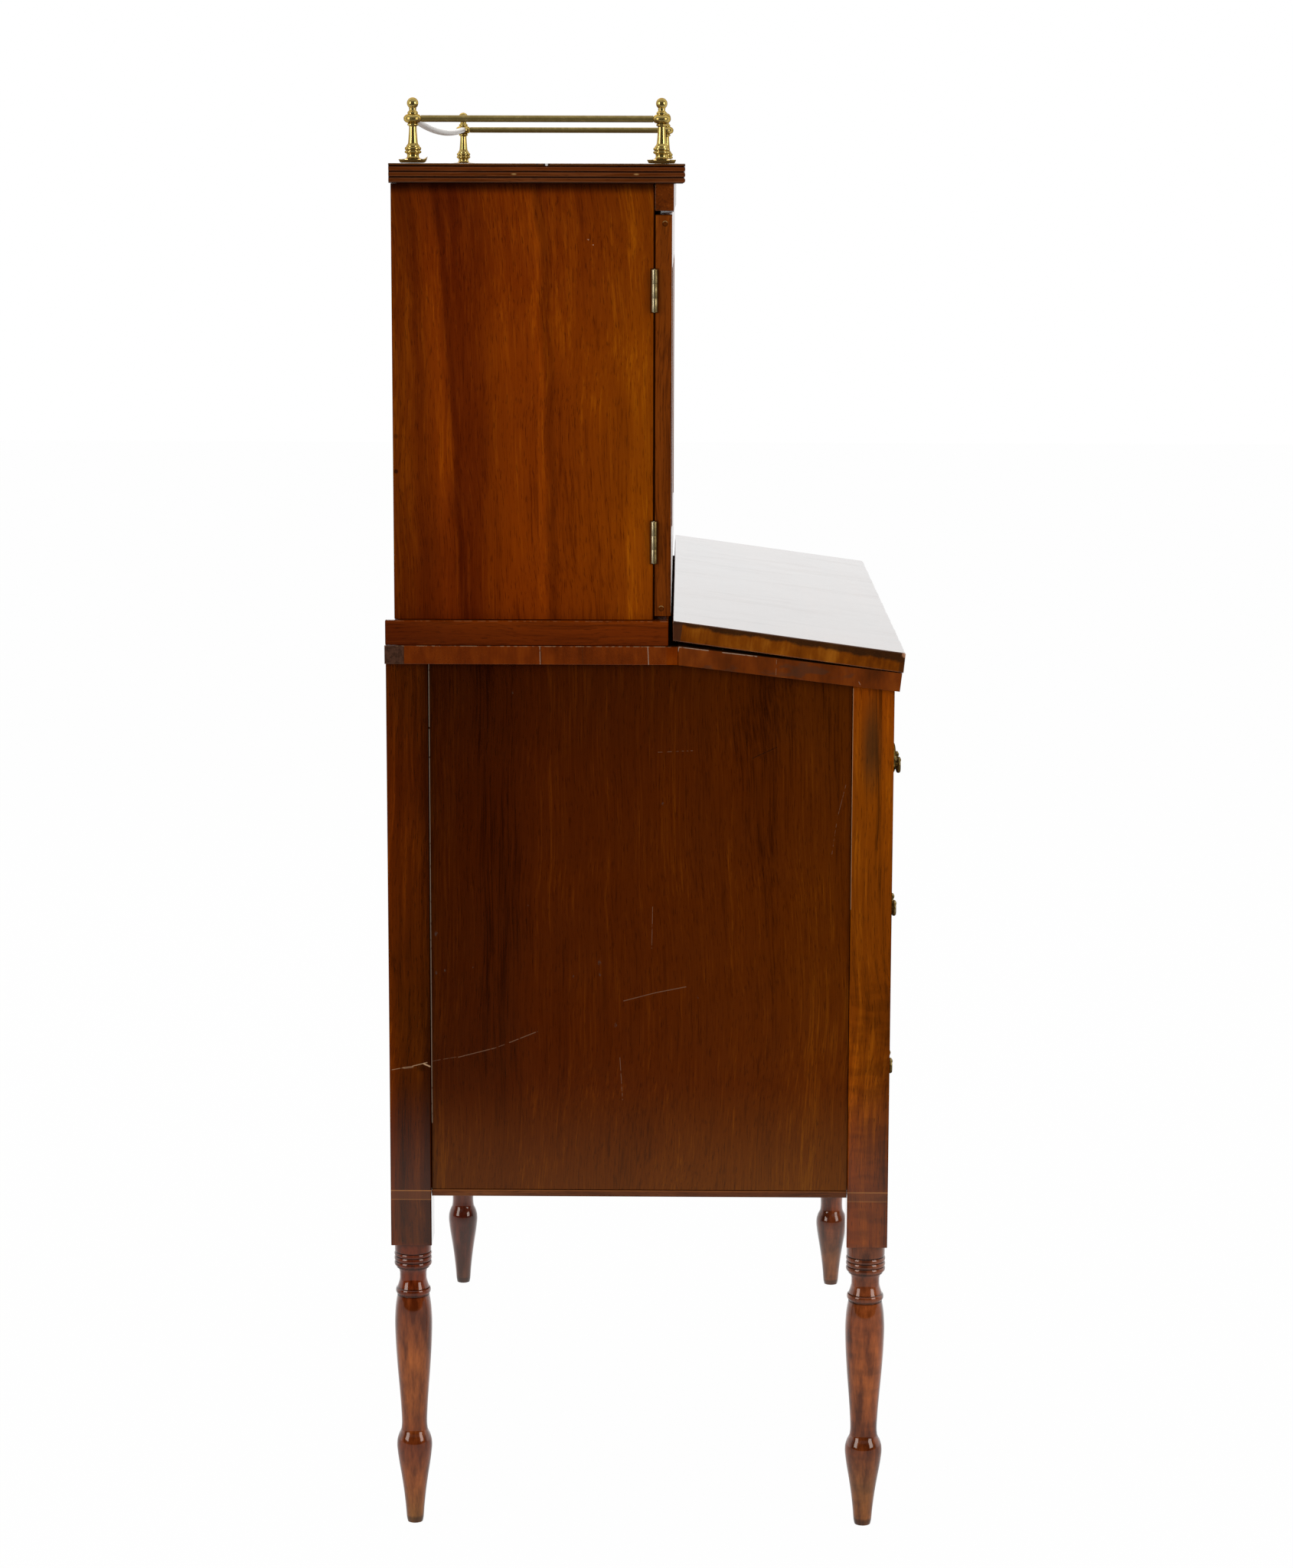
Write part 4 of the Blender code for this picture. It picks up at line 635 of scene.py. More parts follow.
frame_pine = pine("pine_frames", "Y", 13.0, 0.8)
figure = frame_pine.noise(1.0, 3.0, 0.6, (9.0, 220.0, 260.0))
lipping = ramped(figure, [(0.035, 0.008, 0.002), (0.21, 0.058, 0.009)])
frame_pine.set_colour(blended(fade(frame_pine.y, -0.1995, -0.2005), frame_pine.colour, lipping))
for name in ("lower", "upper"):
    softened(f"dust_frame_{name}", f"dust_boards_{name}", frame_pine)
softened("top_rail", "front_top_rail", carcase)

back = pine("pine_back", "X", 14.0, 0.75)
seams(back, back.z, (0.49, 0.66))
softened("back_panel", "back_boards", back)

# ---------------------------------------------------------------------------
# Lopers and their housings
# A pull-out slide stands in a slot on either side of the top drawer. It runs parallel to the
# bed on a wedge and carries the open flap. Both are mahogany, the slide's faces rubbed dull.

slide_wood = mahogany("mahogany_slides", "Y",
                      [(0.045, 0.010, 0.002), (0.110, 0.028, 0.004), (0.190, 0.055, 0.009)],
                      seed=15.0, rough=0.34, polish=0.15)
for side in ("left", "right"):
    softened(f"loper_housing_{side}", f"loper_slot_{side}", carcase)
    softened(f"loper_{side}", f"loper_slide_{side}", slide_wood, f"loper_{side}", width=0.0008)

# ---------------------------------------------------------------------------
# Case top and writing bed
# The level board under the cabinet and the sloping bed in front of it, edged with cross-cut
# mahogany veneer. The veneer's joints have opened, and a block of end grain shows at the back.

END = -0.404


def crossbanded(name, tones, seed, top_tones=None, tilt=0.0, rough=0.24, polish=0.6,
                relief=0.000012):
    """Board with cross-cut veneer on its side edges: the edge's grain runs up and down, in
    blotches, and the faces have long grain across the desk."""
    finish = mahogany(name, "X", top_tones or tones, seed=seed, tilt=tilt, rough=rough,
                      polish=polish, bands=1.2, fibres=0.7, relief=relief)
    patch = finish.noise(1.0, 4.0, 0.62, (40.0, 46.0, 22.0))
    rays = finish.noise(1.0, 3.0, 0.6, (120.0, 520.0, 26.0))
    tone = rays * 0.40 + (patch * 1.7 - 0.55)
    finish.side = fade(abs(finish.x), 0.4030, 0.4036)
    finish.set_colour(blended(finish.side, finish.colour, ramped(tone, tones, 0.12, 0.88)))
    return finish


def open_joints(finish, ragged, marks):
    """Open joints and scores on the left end, as (y, z, y, z, width, colour)."""
    for y0, z0, y1, z1, width, colour in marks:
        finish.scratch_and_highlight((END, y0, z0), (END, y1, z1), width, ragged, 0.8, colour, 3.0)


top_edge = crossbanded("mahogany_top",
                       [(0.078, 0.0105, 0.0005), (0.130, 0.0195, 0.0008), (0.190, 0.034, 0.0015)],
                       21.0)
top_edge.shade(top_edge.side * fade(top_edge.y, 0.10, 0.15), (0.86, 0.80, 0.6))
block = top_edge.side * fade(top_edge.y, 0.2206, 0.2212)
top_edge.paint(block * 0.92, (0.060, 0.028, 0.018))
top_edge.shade(block * fade(top_edge.noise(420.0, 3.0), 0.4, 0.6), 0.6)
open_joints(top_edge, 0.6, (
    (0.0972, 0.8440, 0.0968, 0.8266, 0.00045, (0.30, 0.21, 0.15)),
    (0.0962, 0.8440, 0.0958, 0.8266, 0.00050, (0.020, 0.008, 0.004)),
    (-0.0010, 0.8440, -0.0018, 0.8266, 0.00045, (0.36, 0.27, 0.20)),
    (0.0585, 0.8440, 0.0580, 0.8266, 0.00040, (0.050, 0.014, 0.004)),
    (0.2209, 0.8440, 0.2209, 0.8266, 0.00040, (0.030, 0.012, 0.006))))
# A painted highlight: a pale line along the top arris of the left end.
top_edge.scratch_and_highlight((END, 0.2379, 0.8436), (END, -0.0283, 0.8436), 0.0008, 0.1, 0.5,
                 (0.33, 0.20, 0.11))
# Painted shade on the level top's strip in the narrow gap behind the folded flap; it loses its
# shine too.
flap_gap_shade = fade(top_edge.y, -0.0170, -0.0190)
top_edge.paint(flap_gap_shade * fade(top_edge.z, 0.8430, 0.8437), (0.022, 0.008, 0.003))
top_edge.dull(flap_gap_shade)
softened("case_top", "level_top", top_edge, width=0.0005)

bed_wood = crossbanded("mahogany_bed",
                       [(0.066, 0.0115, 0.001), (0.128, 0.0215, 0.001), (0.190, 0.038, 0.002)],
                       22.0, [(0.050, 0.012, 0.002), (0.120, 0.032, 0.004), (0.20, 0.060, 0.010)],
                       rough=0.30, polish=0.35)
open_joints(bed_wood, 0.5, (
    (-0.0293, 0.8430, -0.0268, 0.8325, 0.00065, (0.34, 0.24, 0.17)),
    (-0.0690, 0.8385, -0.1000, 0.8350, 0.00060, (0.33, 0.24, 0.17)),
    (-0.0295, 0.8434, -0.0560, 0.8402, 0.00060, (0.34, 0.24, 0.17)),
    (-0.1180, 0.8320, -0.1175, 0.8180, 0.00030, (0.22, 0.12, 0.07)),
    (-0.1930, 0.8120, -0.1960, 0.8060, 0.00035, (0.30, 0.20, 0.14))))
stain = fade(bed_wood.noise(1.0, 3.0, 0.6, (30.0, 30.0, 70.0)), 0.56, 0.66)
bed_wood.paint(stain * bed_wood.side * 0.55, (0.050, 0.022, 0.012))
bed_wood.dull(fade(bed_wood.y, -0.0300, -0.0290))
softened("writing_bed", "sloping_bed", bed_wood)

# ---------------------------------------------------------------------------
# Writing flap and its hinges
# A mahogany board that lies folded on the bed and turns over towards the sitter. Its polished
# top has faint cross grain and nicks along its front; its edges are dark in a ragged band along the
# top, at both ends and along the foot.
# Two brass butt hinges are let into its front edge.

FLAP_SLOPE = math.radians(7.8)
HINGE_Y, HINGE_Z = -0.23361, 0.81987
cos_flap, sin_flap = math.cos(FLAP_SLOPE), math.sin(FLAP_SLOPE)


def flap_board():
    """The flap's surface: a rounded oblong in the side view, carried across the desk. Its long
    edges waver by the sum of three sines, as a planed and worn edge does."""
    ends = 0.4025 + 0.0015 * np.sin(np.linspace(0.0, math.pi / 2, 6))
    across = np.concatenate([-ends[::-1], np.linspace(-0.4020, 0.4020, 240), ends])
    past = np.clip((np.abs(across) - 0.4025) / 0.0015, 0.0, 1.0)
    inset = 0.0012 * (1.0 - np.sqrt(1.0 - past**2))
    ripple = 0.00016 * (np.sin(across * 61) + np.sin(across * 143 + 1) + np.sin(across * 311 + 2))
    base, top = 0.00015, 0.01865
    # Corners: along the flap from the hinge line, out of it, inwards on both, radius and turn.
    corners = ((0.0, base, 1, 1, 0.0006, 1.0), (0.21198, base, -1, 1, 0.0006, 1.5),
               (0.21448, top, -1, -1, 0.0010, 0.0), (0.0, top, 1, -1, 0.0016, 0.5))
    rings = []
    for along, out, in_along, in_out, radius, turn in corners:
        for angle in turn * math.pi + np.arange(5) * math.pi / 8:
            a = along + in_along * (radius + inset) + radius * math.cos(angle)
            o = out + in_out * (radius + inset) + radius * math.sin(angle)
            if (along, out) == (0.0, top):
                a = a + 0.0004 + ripple
            rings.append(np.stack([across, HINGE_Y + a * cos_flap - o * sin_flap,
                                   HINGE_Z + a * sin_flap + o * cos_flap], axis=-1))
    return np.array(rings).transpose(1, 0, 2)


flap_wood = crossbanded("mahogany_flap",
                        [(0.085, 0.017, 0.001), (0.175, 0.042, 0.002), (0.290, 0.090, 0.006)],
                        23.0, [(0.060, 0.014, 0.002), (0.130, 0.034, 0.004), (0.215, 0.066, 0.010)],
                        tilt=-FLAP_SLOPE, rough=0.10, polish=1.6, relief=0.000006)
toe_y = HINGE_Y * cos_flap + HINGE_Z * sin_flap
toe_z = HINGE_Z * cos_flap - HINGE_Y * sin_flap
tail, height = flap_wood.y - toe_y, flap_wood.z - toe_z
ragged = flap_wood.noise(60.0, 4.0, 0.65) * 0.009 + (tail * -0.023 + height)
flap_wood.paint(fade(ragged, 0.0132, 0.0165) * flap_wood.side * 0.88, (0.024, 0.010, 0.004))
flap_wood.paint(fade(tail, 0.2048, 0.2054) * flap_wood.side * 0.8, (0.040, 0.016, 0.009))
flap_wood.paint(fade(tail, 0.0057, 0.0045) * flap_wood.side * 0.75, (0.050, 0.015, 0.004))
toe = flap_wood.away((END, toe_y + 0.0012, toe_z + 0.0170))
flap_wood.paint(fade(toe, 0.0034, 0.0020) * 0.8, (0.40, 0.19, 0.10))
flap_wood.paint(fade(height, 0.0016, 0.0004) * flap_wood.side * 0.5, (0.030, 0.010, 0.003))
nicks = fade(flap_wood.noise(1.0, 4.0, 0.7, (75.0, 16.0, 40.0)), 0.57, 0.64)
near_front = fade(tail, 0.026, 0.002) * fade(height, 0.012, 0.017)
flap_wood.paint(nicks * near_front * 0.85, (0.020, 0.008, 0.003))
rubbed = fade(flap_wood.noise(1.0, 5.0, 0.7, (26.0, 4.5, 20.0)), 0.50, 0.66)
flap_wood.set_rough(rubbed * 0.06 + flap_wood.rough)
make_piece("folding_flap", [shell(flap_board())], flap_wood, "flap",
           ["writing_flap"], crease=50.0, flat=True)


def old_brass(name, tones, rough=0.42, grime=1.0, pitting=0.00004, metallic=1.0):
    """Brass with a skin: clean metal shows on a cloud's high places, brown tarnish lies in the
    low ones, and fine speckle roughens both."""
    finish = Finish(name, metallic=metallic)
    finish.set_input("Specular Tint", opaque(tuple(v * 0.75 for v in tones[0])))
    patch, speck = finish.noise(160.0, 5.0, 0.62), finish.noise(900.0)
    tone = speck * 0.35 + (patch * (1.5 * grime) + (0.33 - 0.75 * grime))
    finish.set_colour(ramped(tone, tones, 0.15, 0.85))
    finish.set_rough(patch * -0.25 + (rough + 0.14))
    finish.set_height(patch * 0.7 + speck, pitting)
    return finish


hinge_brass = old_brass("brass_hinges",
                        [(0.10, 0.065, 0.022), (0.26, 0.185, 0.075), (0.50, 0.40, 0.20)])
hinge_brass.paint(fade(hinge_brass.y, -0.0066, -0.0058) * 0.6, (0.66, 0.58, 0.38))


def barrel(start, end, radius, sides=20):
    """Knuckle of a hinge, or its pin: a round bar along x whose ends are eased."""
    ease = np.array([(0.0, 0.92), (0.03, 0.98), (0.08, 1.0)]) * radius
    profile = np.concatenate([ease + (start, 0.0), ease[::-1] * (-1, 1) + (end, 0.0)])
    return shell(turned(profile, sides=sides)[..., [2, 0, 1]])


def plate(low, high, ease=0.0002):
    """A board or a thin leaf with eased edges: rounded oblongs from its lower to its upper face.
    Low and high are opposite corners."""
    low, high = np.array(low), np.array(high)
    middle, half = (low + high) / 2, (high - low) / 2
    levels = [(rise - half[2], inset) for rise, inset in (
        (0.0, ease), (ease * 0.3, ease * 0.3), (ease, 0.0))]
    levels += [(-level, inset) for level, inset in reversed(levels)]
    return shell(oblongs(levels, middle, half, ease, 3) + (0.0, 0.0, middle[2]))


def hinge_pieces(origin, axes, length, width, radius, moving):
    """Barrel pieces and leaf of one half of a butt hinge. Its axes run along the pin, into the
    leaf and square out of it. The moving half has the middle knuckle, the other half the pin."""
    half, sixth, gap = length / 2, length / 6, 0.00005
    spans = [(-sixth, sixth)] if moving else [(-half, -sixth), (sixth, half)]
    made = [barrel(a + gap, b - gap, radius) for a, b in spans]
    low = 0.00005 if moving else 0.00015
    leaves = [(-half + 0.0002, half - 0.0002, radius + 0.0003)]
    leaves += [(a + 0.0003, b - 0.0003, 0.0015) for a, b in spans]
    made += [plate((a, near, low), (b, width, low + 0.001)) for a, b, near in leaves]
    if not moving:
        made.append(barrel(-half - 0.0004, half + 0.0004, 0.0009, 12))
    return [(points @ np.array(axes) + origin, faces) for points, faces in made]


cos_bed, sin_bed = math.cos(BED_SLOPE), math.sin(BED_SLOPE)
bed_axes = ((-1, 0, 0), (0, cos_bed, sin_bed), (0, sin_bed, -cos_bed))
flap_axes = ((1, 0, 0), (0, cos_flap, sin_flap), (0, -sin_flap, cos_flap))
# Length, leaf width and knuckle radius of the flap's hinges, and their place across the desk.
FLAP_HINGE, FLAP_HINGE_X = (0.050, 0.016, 0.0022), 0.300
for side, sign in SIDES:
    origin = (sign * FLAP_HINGE_X, HINGE_Y, HINGE_Z)
    make_piece(f"bed_hinge_{side}", hinge_pieces(origin, bed_axes, *FLAP_HINGE, False),
               hinge_brass, "case", [f"flap_hinge_{side}"])
    make_piece(f"flap_knuckle_{side}", hinge_pieces(origin, flap_axes, *FLAP_HINGE, True),
               hinge_brass, "flap")

# ---------------------------------------------------------------------------
# Drawers
# Mahogany fronts with a cockbead, a thin half-round strip glued round the edge, and pine boxes
# whose sides are dovetailed into the fronts. Each has a keyhole lined with a thin brass thread.
# Worn stops let the two deeper ones stand a little behind the posts.

# Each opening's level, height and half width, and where the drawer's face stands.
DRAWERS = {"lower": (0.3560, 0.1440, 0.3600, -0.2221), "middle": (0.5195, 0.1240, 0.3600, -0.2237),
           "upper": (0.6630, 0.1120, 0.3268, -0.2261)}
PLAY = 0.001


def drawer_front(half, base, top, face):
    """Front with its cockbead: an oblong carried along a profile of (inset, depth). The bead is
    half an ellipse, 3 mm wide and 1.2 mm proud, with a fine groove inside it."""
    turn = np.linspace(0.0, math.pi, 9)
    profile = np.concatenate([
        [(0.0008, face + 0.0200), (0.0002, face + 0.0198), (0.0, face + 0.0192)],
        np.stack([0.0015 - 0.0015 * np.cos(turn), face - 0.0012 * np.sin(turn)], axis=1),
        [(0.00305, face + 0.0004), (0.0034, face + 0.0004), (0.0035, face)]])
    inset, depth = profile[:, :1], profile[:, 1:] * np.ones(4)
    across = np.array([-half, half, half, -half]) + inset * [1, -1, -1, 1]
    upright = np.array([base, base, top, top]) + inset * [1, 1, -1, -1]
    return shell(np.stack([across, depth, upright], axis=-1))


def keyhole(lift, grow):
    """Outline of a keyhole: a circle above and a slot that widens towards its foot."""
    radius, drop = 0.0027, 0.0085
    turn = np.linspace(-0.32 * math.pi, 1.32 * math.pi, 25)
    ring = np.stack([np.cos(turn), np.sin(turn)], axis=1) * (radius + grow)
    reach = radius * 0.75 + grow
    return np.concatenate([ring, [(-reach, -drop - grow), (reach, -drop - grow)]]) + (0.0, lift)


def front_wood(name, base, top, half, face, seed):
    """Flamed mahogany: the grain runs across in waves, and the bead's glue line is dark. The
    ends show the drawer sides' tails in paler pine, wider at their back."""
    finish = mahogany(f"mahogany_front_{name}", "X",
                      [(0.034, 0.007, 0.001), (0.112, 0.026, 0.003), (0.215, 0.063, 0.008)],
                      seed=seed, streaks=1.2, mist=1.3, rough=0.17, polish=0.8,
                      bend=(0.10, -0.3), relief=0.000004)
    y, z = finish.y, finish.z
    to_side = half - abs(finish.x)
    inset = calc("MINIMUM", to_side, (top - base) / 2 - abs(z - (base + top) / 2))
    finish.shade(fade(abs(inset - 0.0032), 0.0006, 0.0002), 0.25)
    finish.shade(fade(inset, 0.012, 0.003, 0.5, 0.0), 0.7)
    share = calc("FRACT", (z - base) / ((top - base) / 4))
    tails = (abs(share - 0.5) < (y - face) * -8.0 + 0.50) * (y > face + 0.007)
    finish.paint(tails * fade(to_side, 0.0007, 0.0005) * 0.9, (0.20, 0.105, 0.045))
    return finish


thread_brass = old_brass("brass_threads",
                         [(0.20, 0.13, 0.045), (0.42, 0.30, 0.11), (0.62, 0.48, 0.20)])
keyhole_shade = Finish("keyhole_painted_shade")
keyhole_shade.set_colour(ramped(keyhole_shade.noise(300.0), [(0.004, 0.003, 0.002), (0.012, 0.007, 0.004)]))
keyhole_shade.set_input("Roughness", 0.9)
for seed, (name, (level, height, half_opening, face)) in enumerate(DRAWERS.items()):
    half, base, top = half_opening - PLAY, level + PLAY, level + height - PLAY
    body = f"{name}_drawer"
    make_piece(f"{name}_front_board", [drawer_front(half, base, top, face)],
               front_wood(name, base, top, half, face, 31.0 + seed), body,
               [f"{name}_drawer_front"], flat=True)
    softened(f"{name}_drawer_box", f"{name}_box_boards",
             pine(f"pine_box_{name}", "Y", 35.0 + seed, 0.85), body, 0.0009)
    # The thread is a closed loop of outlines, and the hole's darkness is painted shade, a thin dark
    # disc behind its last one.
    lift = level + height / 2 + 0.018
    rings = np.array([np.insert(keyhole(lift, grow), 1, face + depth, axis=1) for grow, depth in (
        (0.0012, 0.0001), (0.0010, -0.0002), (0.0002, -0.0002), (0.0, 0.0002))])
    points = rings.reshape(-1, 3)
    index = np.arange(len(points)).reshape(rings.shape[:2])
    around, below = np.roll(index, -1, 1), np.roll(index, -1, 0)
    quads = np.stack([index, below, np.roll(below, -1, 1), around], axis=-1).reshape(-1, 4)
    make_piece(f"{name}_key_thread", [(points, quads.tolist())], thread_brass, body)
    disc = np.concatenate([rings[-1:] + (0.0, 0.00005, 0.0), rings[-1:] - (0.0, 0.00015, 0.0)])
    make_piece(f"{name}_key_hole_shade", [shell(disc)], keyhole_shade, body)

# ---------------------------------------------------------------------------
# Drawer brasses
# Oval plates pressed from thin brass with a beaded rim and a high dome. Two turned posts, bolted
# through the front, carry a bail that swings up. They are dull, with bright worn places.

handle_brass = old_brass("brass_handles",
                         [(0.085, 0.055, 0.018), (0.25, 0.175, 0.065), (0.52, 0.40, 0.18)],
                         rough=0.36)


# Half the plate's width and height, its dome's rise, and the bail's half width, drop and reach.
PLATE_X, PLATE_Z, DOME = 0.026, 0.0205, 0.0079
BAIL_X, BAIL_DROP, BAIL_OUT = 0.0230, 0.0115, 0.0103


def oval_plate(x, front, z):
    """The plate: ovals of shrinking size along a profile of (size, height). Its rim carries a
    row of small beads, a cosine of the turn about the plate, and fainter rays lie inside it."""
    profile = np.array([(1.000, 0.00), (1.000, 0.10), (0.992, 0.17), (0.972, 0.23), (0.950, 0.245),
                        (0.930, 0.23), (0.912, 0.17), (0.900, 0.14), (0.885, 0.145), (0.870, 0.20),
                        (0.850, 0.30), (0.820, 0.43), (0.780, 0.57), (0.720, 0.73), (0.640, 0.86),
                        (0.560, 0.93), (0.460, 0.97), (0.340, 0.99), (0.200, 1.00), (0.080, 1.00)])
    turn = np.linspace(0.0, 2 * math.pi, 180, endpoint=False)
    size, rise = profile[:, :1], profile[:, 1:]
    rim, ray = (np.exp(-((size - at) / width)**2) for at, width in ((0.950, 0.028), (0.80, 0.06)))
    rise = rise + 0.043 * rim * (np.cos(60 * turn) - 0.6) + 0.016 * ray * np.cos(30 * turn)
    return shell(np.stack([x + PLATE_X * size * np.cos(turn), front - 0.0003 - DOME * rise,
                           z + PLATE_Z * size * np.sin(turn)], axis=-1))


def bail_post(x, front, z):
    """Turned post: a collar, a neck and a ball that holds the bail's pin, out of the front."""
    profile = eased([(0.0030, 0.0045), (0.0076, 0.0044), (0.0081, 0.0036), (0.0086, 0.0028),
                     (0.0091, 0.0029), (0.0097, 0.0032), (0.0104, 0.0033), (0.0112, 0.0029),
                     (0.0119, 0.0019), (0.0124, 0.0006)], 4)
    return shell(turned(profile, sides=28)[..., [0, 2, 1]] * (1, -1, 1) + (x, front, z))


def bail_bow(x, front, z):
    """The bail: a tube along a bow in the front view. It is thin at its pins and swells to its
    middle as one less the square of the half-way share, with a ring on each side of the swell."""
    half = np.array([(0.57, 0.0), (0.74, 0.0), (0.915, -0.01), (0.975, 0.08), (1.00, 0.24),
                     (0.985, 0.44), (0.93, 0.63), (0.83, 0.80), (0.68, 0.91), (0.50, 0.968),
                     (0.28, 0.994), (0.0, 1.0)]) * (BAIL_X, -BAIL_DROP)
    knots = np.concatenate([half, (half * (-1, 1))[::-1][1:]])
    steps = np.linalg.norm(np.diff(knots, axis=0), axis=1)
    length = np.concatenate([[0.0], np.cumsum(steps)])
    spots = np.linspace(0.0, length[-1], 97)
    path = np.stack([np.interp(spots, length, knots[:, k]) for k in (0, 1)], axis=1)
    for _ in range(6):
        path[1:-1] = path[1:-1] * 0.5 + (path[:-2] + path[2:]) * 0.25
    along = np.gradient(path, axis=0)
    along /= np.linalg.norm(along, axis=1)[:, None]
    share = np.abs(np.linspace(-1.0, 1.0, 97))
    radius = 0.0014 + 0.0006 * (1 - share**2)**2 + 0.0003 * np.exp(-((share - 0.30) / 0.018)**2)
    radius = np.where(share > 0.80, 0.0013, radius)[:, None]
    turn = np.linspace(0.0, 2 * math.pi, 16, endpoint=False)
    return shell(np.stack([x + path[:, :1] + along[:, 1:] * radius * np.cos(turn),
                           front - BAIL_OUT + radius * np.sin(turn),
                           z + path[:, 1:] - along[:, :1] * radius * np.cos(turn)], axis=-1))


HANDLE_X, POST_GAP = 0.286, 0.017
for name, (level, height, half_opening, front) in DRAWERS.items():
    z = level + height / 2 + 0.005
    for side, sign in SIDES:
        x = sign * HANDLE_X
        posts = [bail_post(x + s * POST_GAP, front, z) for s in (-1, 1)]
        bail = f"{name}_drawer_bail_{side}"
        make_piece(f"{name}_oval_plate_{side}", [oval_plate(x, front, z), *posts], handle_brass,
                   f"{name}_drawer", [f"{name}_drawer_plate_{side}"], crease=60.0)
        make_piece(f"{name}_bail_{side}", [bail_bow(x, front, z)], handle_brass, bail,
                   [bail], crease=60.0)

# ---------------------------------------------------------------------------
# Cabinet: foot board, sides, back, rail and pigeonholes
# The carcase stands on a thick board that is its floor and its plinth. The sides are single
# boards of warm straight-grained mahogany, scratched and figured with a leaning dark streak.

foot_wood = mahogany("mahogany_foot", "Y",
                     [(0.062, 0.0085, 0.0005), (0.112, 0.0158, 0.0007), (0.160, 0.027, 0.001)],
                     seed=41.0, bands=0.9, streaks=1.0, fibres=0.9, mist=0.5, polish=0.2)
foot_wood.grade(foot_wood.y, -0.02, 0.235, [(1.10, 1.10, 1.0), (1.10, 1.10, 1.0),
                                            (0.95, 0.95, 1.0), (0.66, 0.60, 1.0)])
# Lighter along the top, where the last tint is a painted highlight on the lit top arris, and darker
# towards the bottom.
foot_wood.grade(foot_wood.z, 0.8441, 0.8667, [(0.80, 0.78, 1.0), (0.98, 0.98, 1.0),
                                              (1.08, 1.10, 1.0), (1.40, 1.6, 1.5)])
low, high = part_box("cabinet_base")
# A painted highlight: a pale line along the top arris of the left end.
foot_wood.scratch_and_highlight((low[0], 0.2379, 0.8664), (low[0], -0.0195, 0.8664), 0.0006, 0.1, 0.5,
                  (0.34, 0.13, 0.05))
foot_wood.dull(foot_wood.edge(low, high, 0.0009))
# The foot's plan, notched along the back between its two ends.
NOTCH_X, NOTCH_Y = 0.3955, 0.2299
plan = [(low[0], low[1]), (high[0], low[1]), (high[0], high[1]), (NOTCH_X, high[1]),
        (NOTCH_X, NOTCH_Y), (-NOTCH_X, NOTCH_Y), (-NOTCH_X, high[1]), (low[0], high[1])]
foot = softened("cabinet_base", "cabinet_foot", foot_wood, width=0.0008)
foot.data.clear_geometry()
foot.data.from_pydata([(*spot, level) for level in (low[2], high[2]) for spot in plan], [],
                      [tuple(range(7, -1, -1)), tuple(range(8, 16)),
                       *((k, (k + 1) % 8, (k + 1) % 8 + 8, k + 8) for k in range(8))])
foot.data.shade_smooth()

WALL, DOOR_PINS = -0.395, {"lower": 0.9378, "upper": 1.1639}
CABINET_Y = [(1.21, 1.39, 0.3), (1.15, 1.15, 0.3), (1.05, 0.93, 0.3), (0.96, 0.83, 0.3),
             (0.92, 0.76, 0.3), (0.71, 0.66, 0.3)]
CABINET_Z = [(0.99, 0.90, 0.3), (1.11, 1.10, 0.3), (1.04, 1.01, 0.3), (1.10, 1.07, 0.3),
             (0.90, 0.78, 0.3), (0.81, 0.71, 0.3)]
# Veins, as (y, lean, half width, tint).
VEINS = [(0.163, 0.0, 0.024, (0.70, 0.58, 0.5)), (0.1745, 0.036, 0.005, (0.76, 0.68, 0.6)),
         (0.187, 0.040, 0.012, (1.22, 1.26, 1.0)), (0.204, 0.020, 0.007, (0.84, 0.78, 0.8)),
         (0.1150, 0.010, 0.030, (1.12, 1.12, 1.0)), (0.0975, 0.0, 0.005, (1.15, 1.18, 1.0)),
         (0.0880, 0.004, 0.007, (0.74, 0.70, 0.7)), (0.0085, -0.010, 0.014, (1.14, 1.18, 1.0))]


def cabinet_wood(side, seed):
    """Warm straight grain with a few dark and light veins. Their lines are upright below and
    lean back by the square of the height over the lower two thirds."""
    finish = mahogany(f"mahogany_cabinet_{side}", "Z",
                      [(0.070, 0.0095, 0.0005), (0.146, 0.0255, 0.001), (0.230, 0.052, 0.003)],
                      seed=seed, bands=0.9, streaks=0.7, mist=0.55, rough=0.16, polish=0.3,
                      bend=(-0.35, 1.00))
    y, z = finish.y, finish.z
    finish.grade(y, 0.0, 0.23, CABINET_Y)
    finish.grade(z, 0.87, 1.26, CABINET_Z)
    # Painted shadow under the cornice's overhang.
    finish.shade(fade(z, 1.2475, 1.2565), 0.25)
    rise = calc("MAXIMUM", z - 1.08, 0.0)
    across = y - (rise * rise * 0.30 + (finish.noise(9.0, 3.0, 0.6) * 0.016 - 0.008))
    for spot, lean, half, tint in VEINS:
        away = abs(across - ((z - 1.05) * lean + spot))
        finish.shade(fade(away, half, half * 0.2), tint)
    finish.shade(fade(y, 0.130, 0.175) * fade(z, 1.02, 0.92), (0.78, 0.72, 0.7))
    finish.shade(fade(y, 0.055, 0.010) * fade(z, 0.99, 0.92), (1.12, 1.12, 1.0))
    # Painted shade beside the door hinges.
    for pin in DOOR_PINS.values():
        finish.shade(fade(abs(z - pin), 0.0205, 0.0195) * fade(y, -0.0015, -0.0030), 0.35)
    # Painted shade in the narrow gap behind the doors; the gap and the arrises lose their shine.
    gap = fade(y, -0.0046, -0.0056)
    finish.shade(gap, 0.08)
    arrises = finish.edge(*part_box(f"cabinet_side_{side}"), 0.0007)
    finish.dull(calc("MAXIMUM", gap, arrises))
    return finish


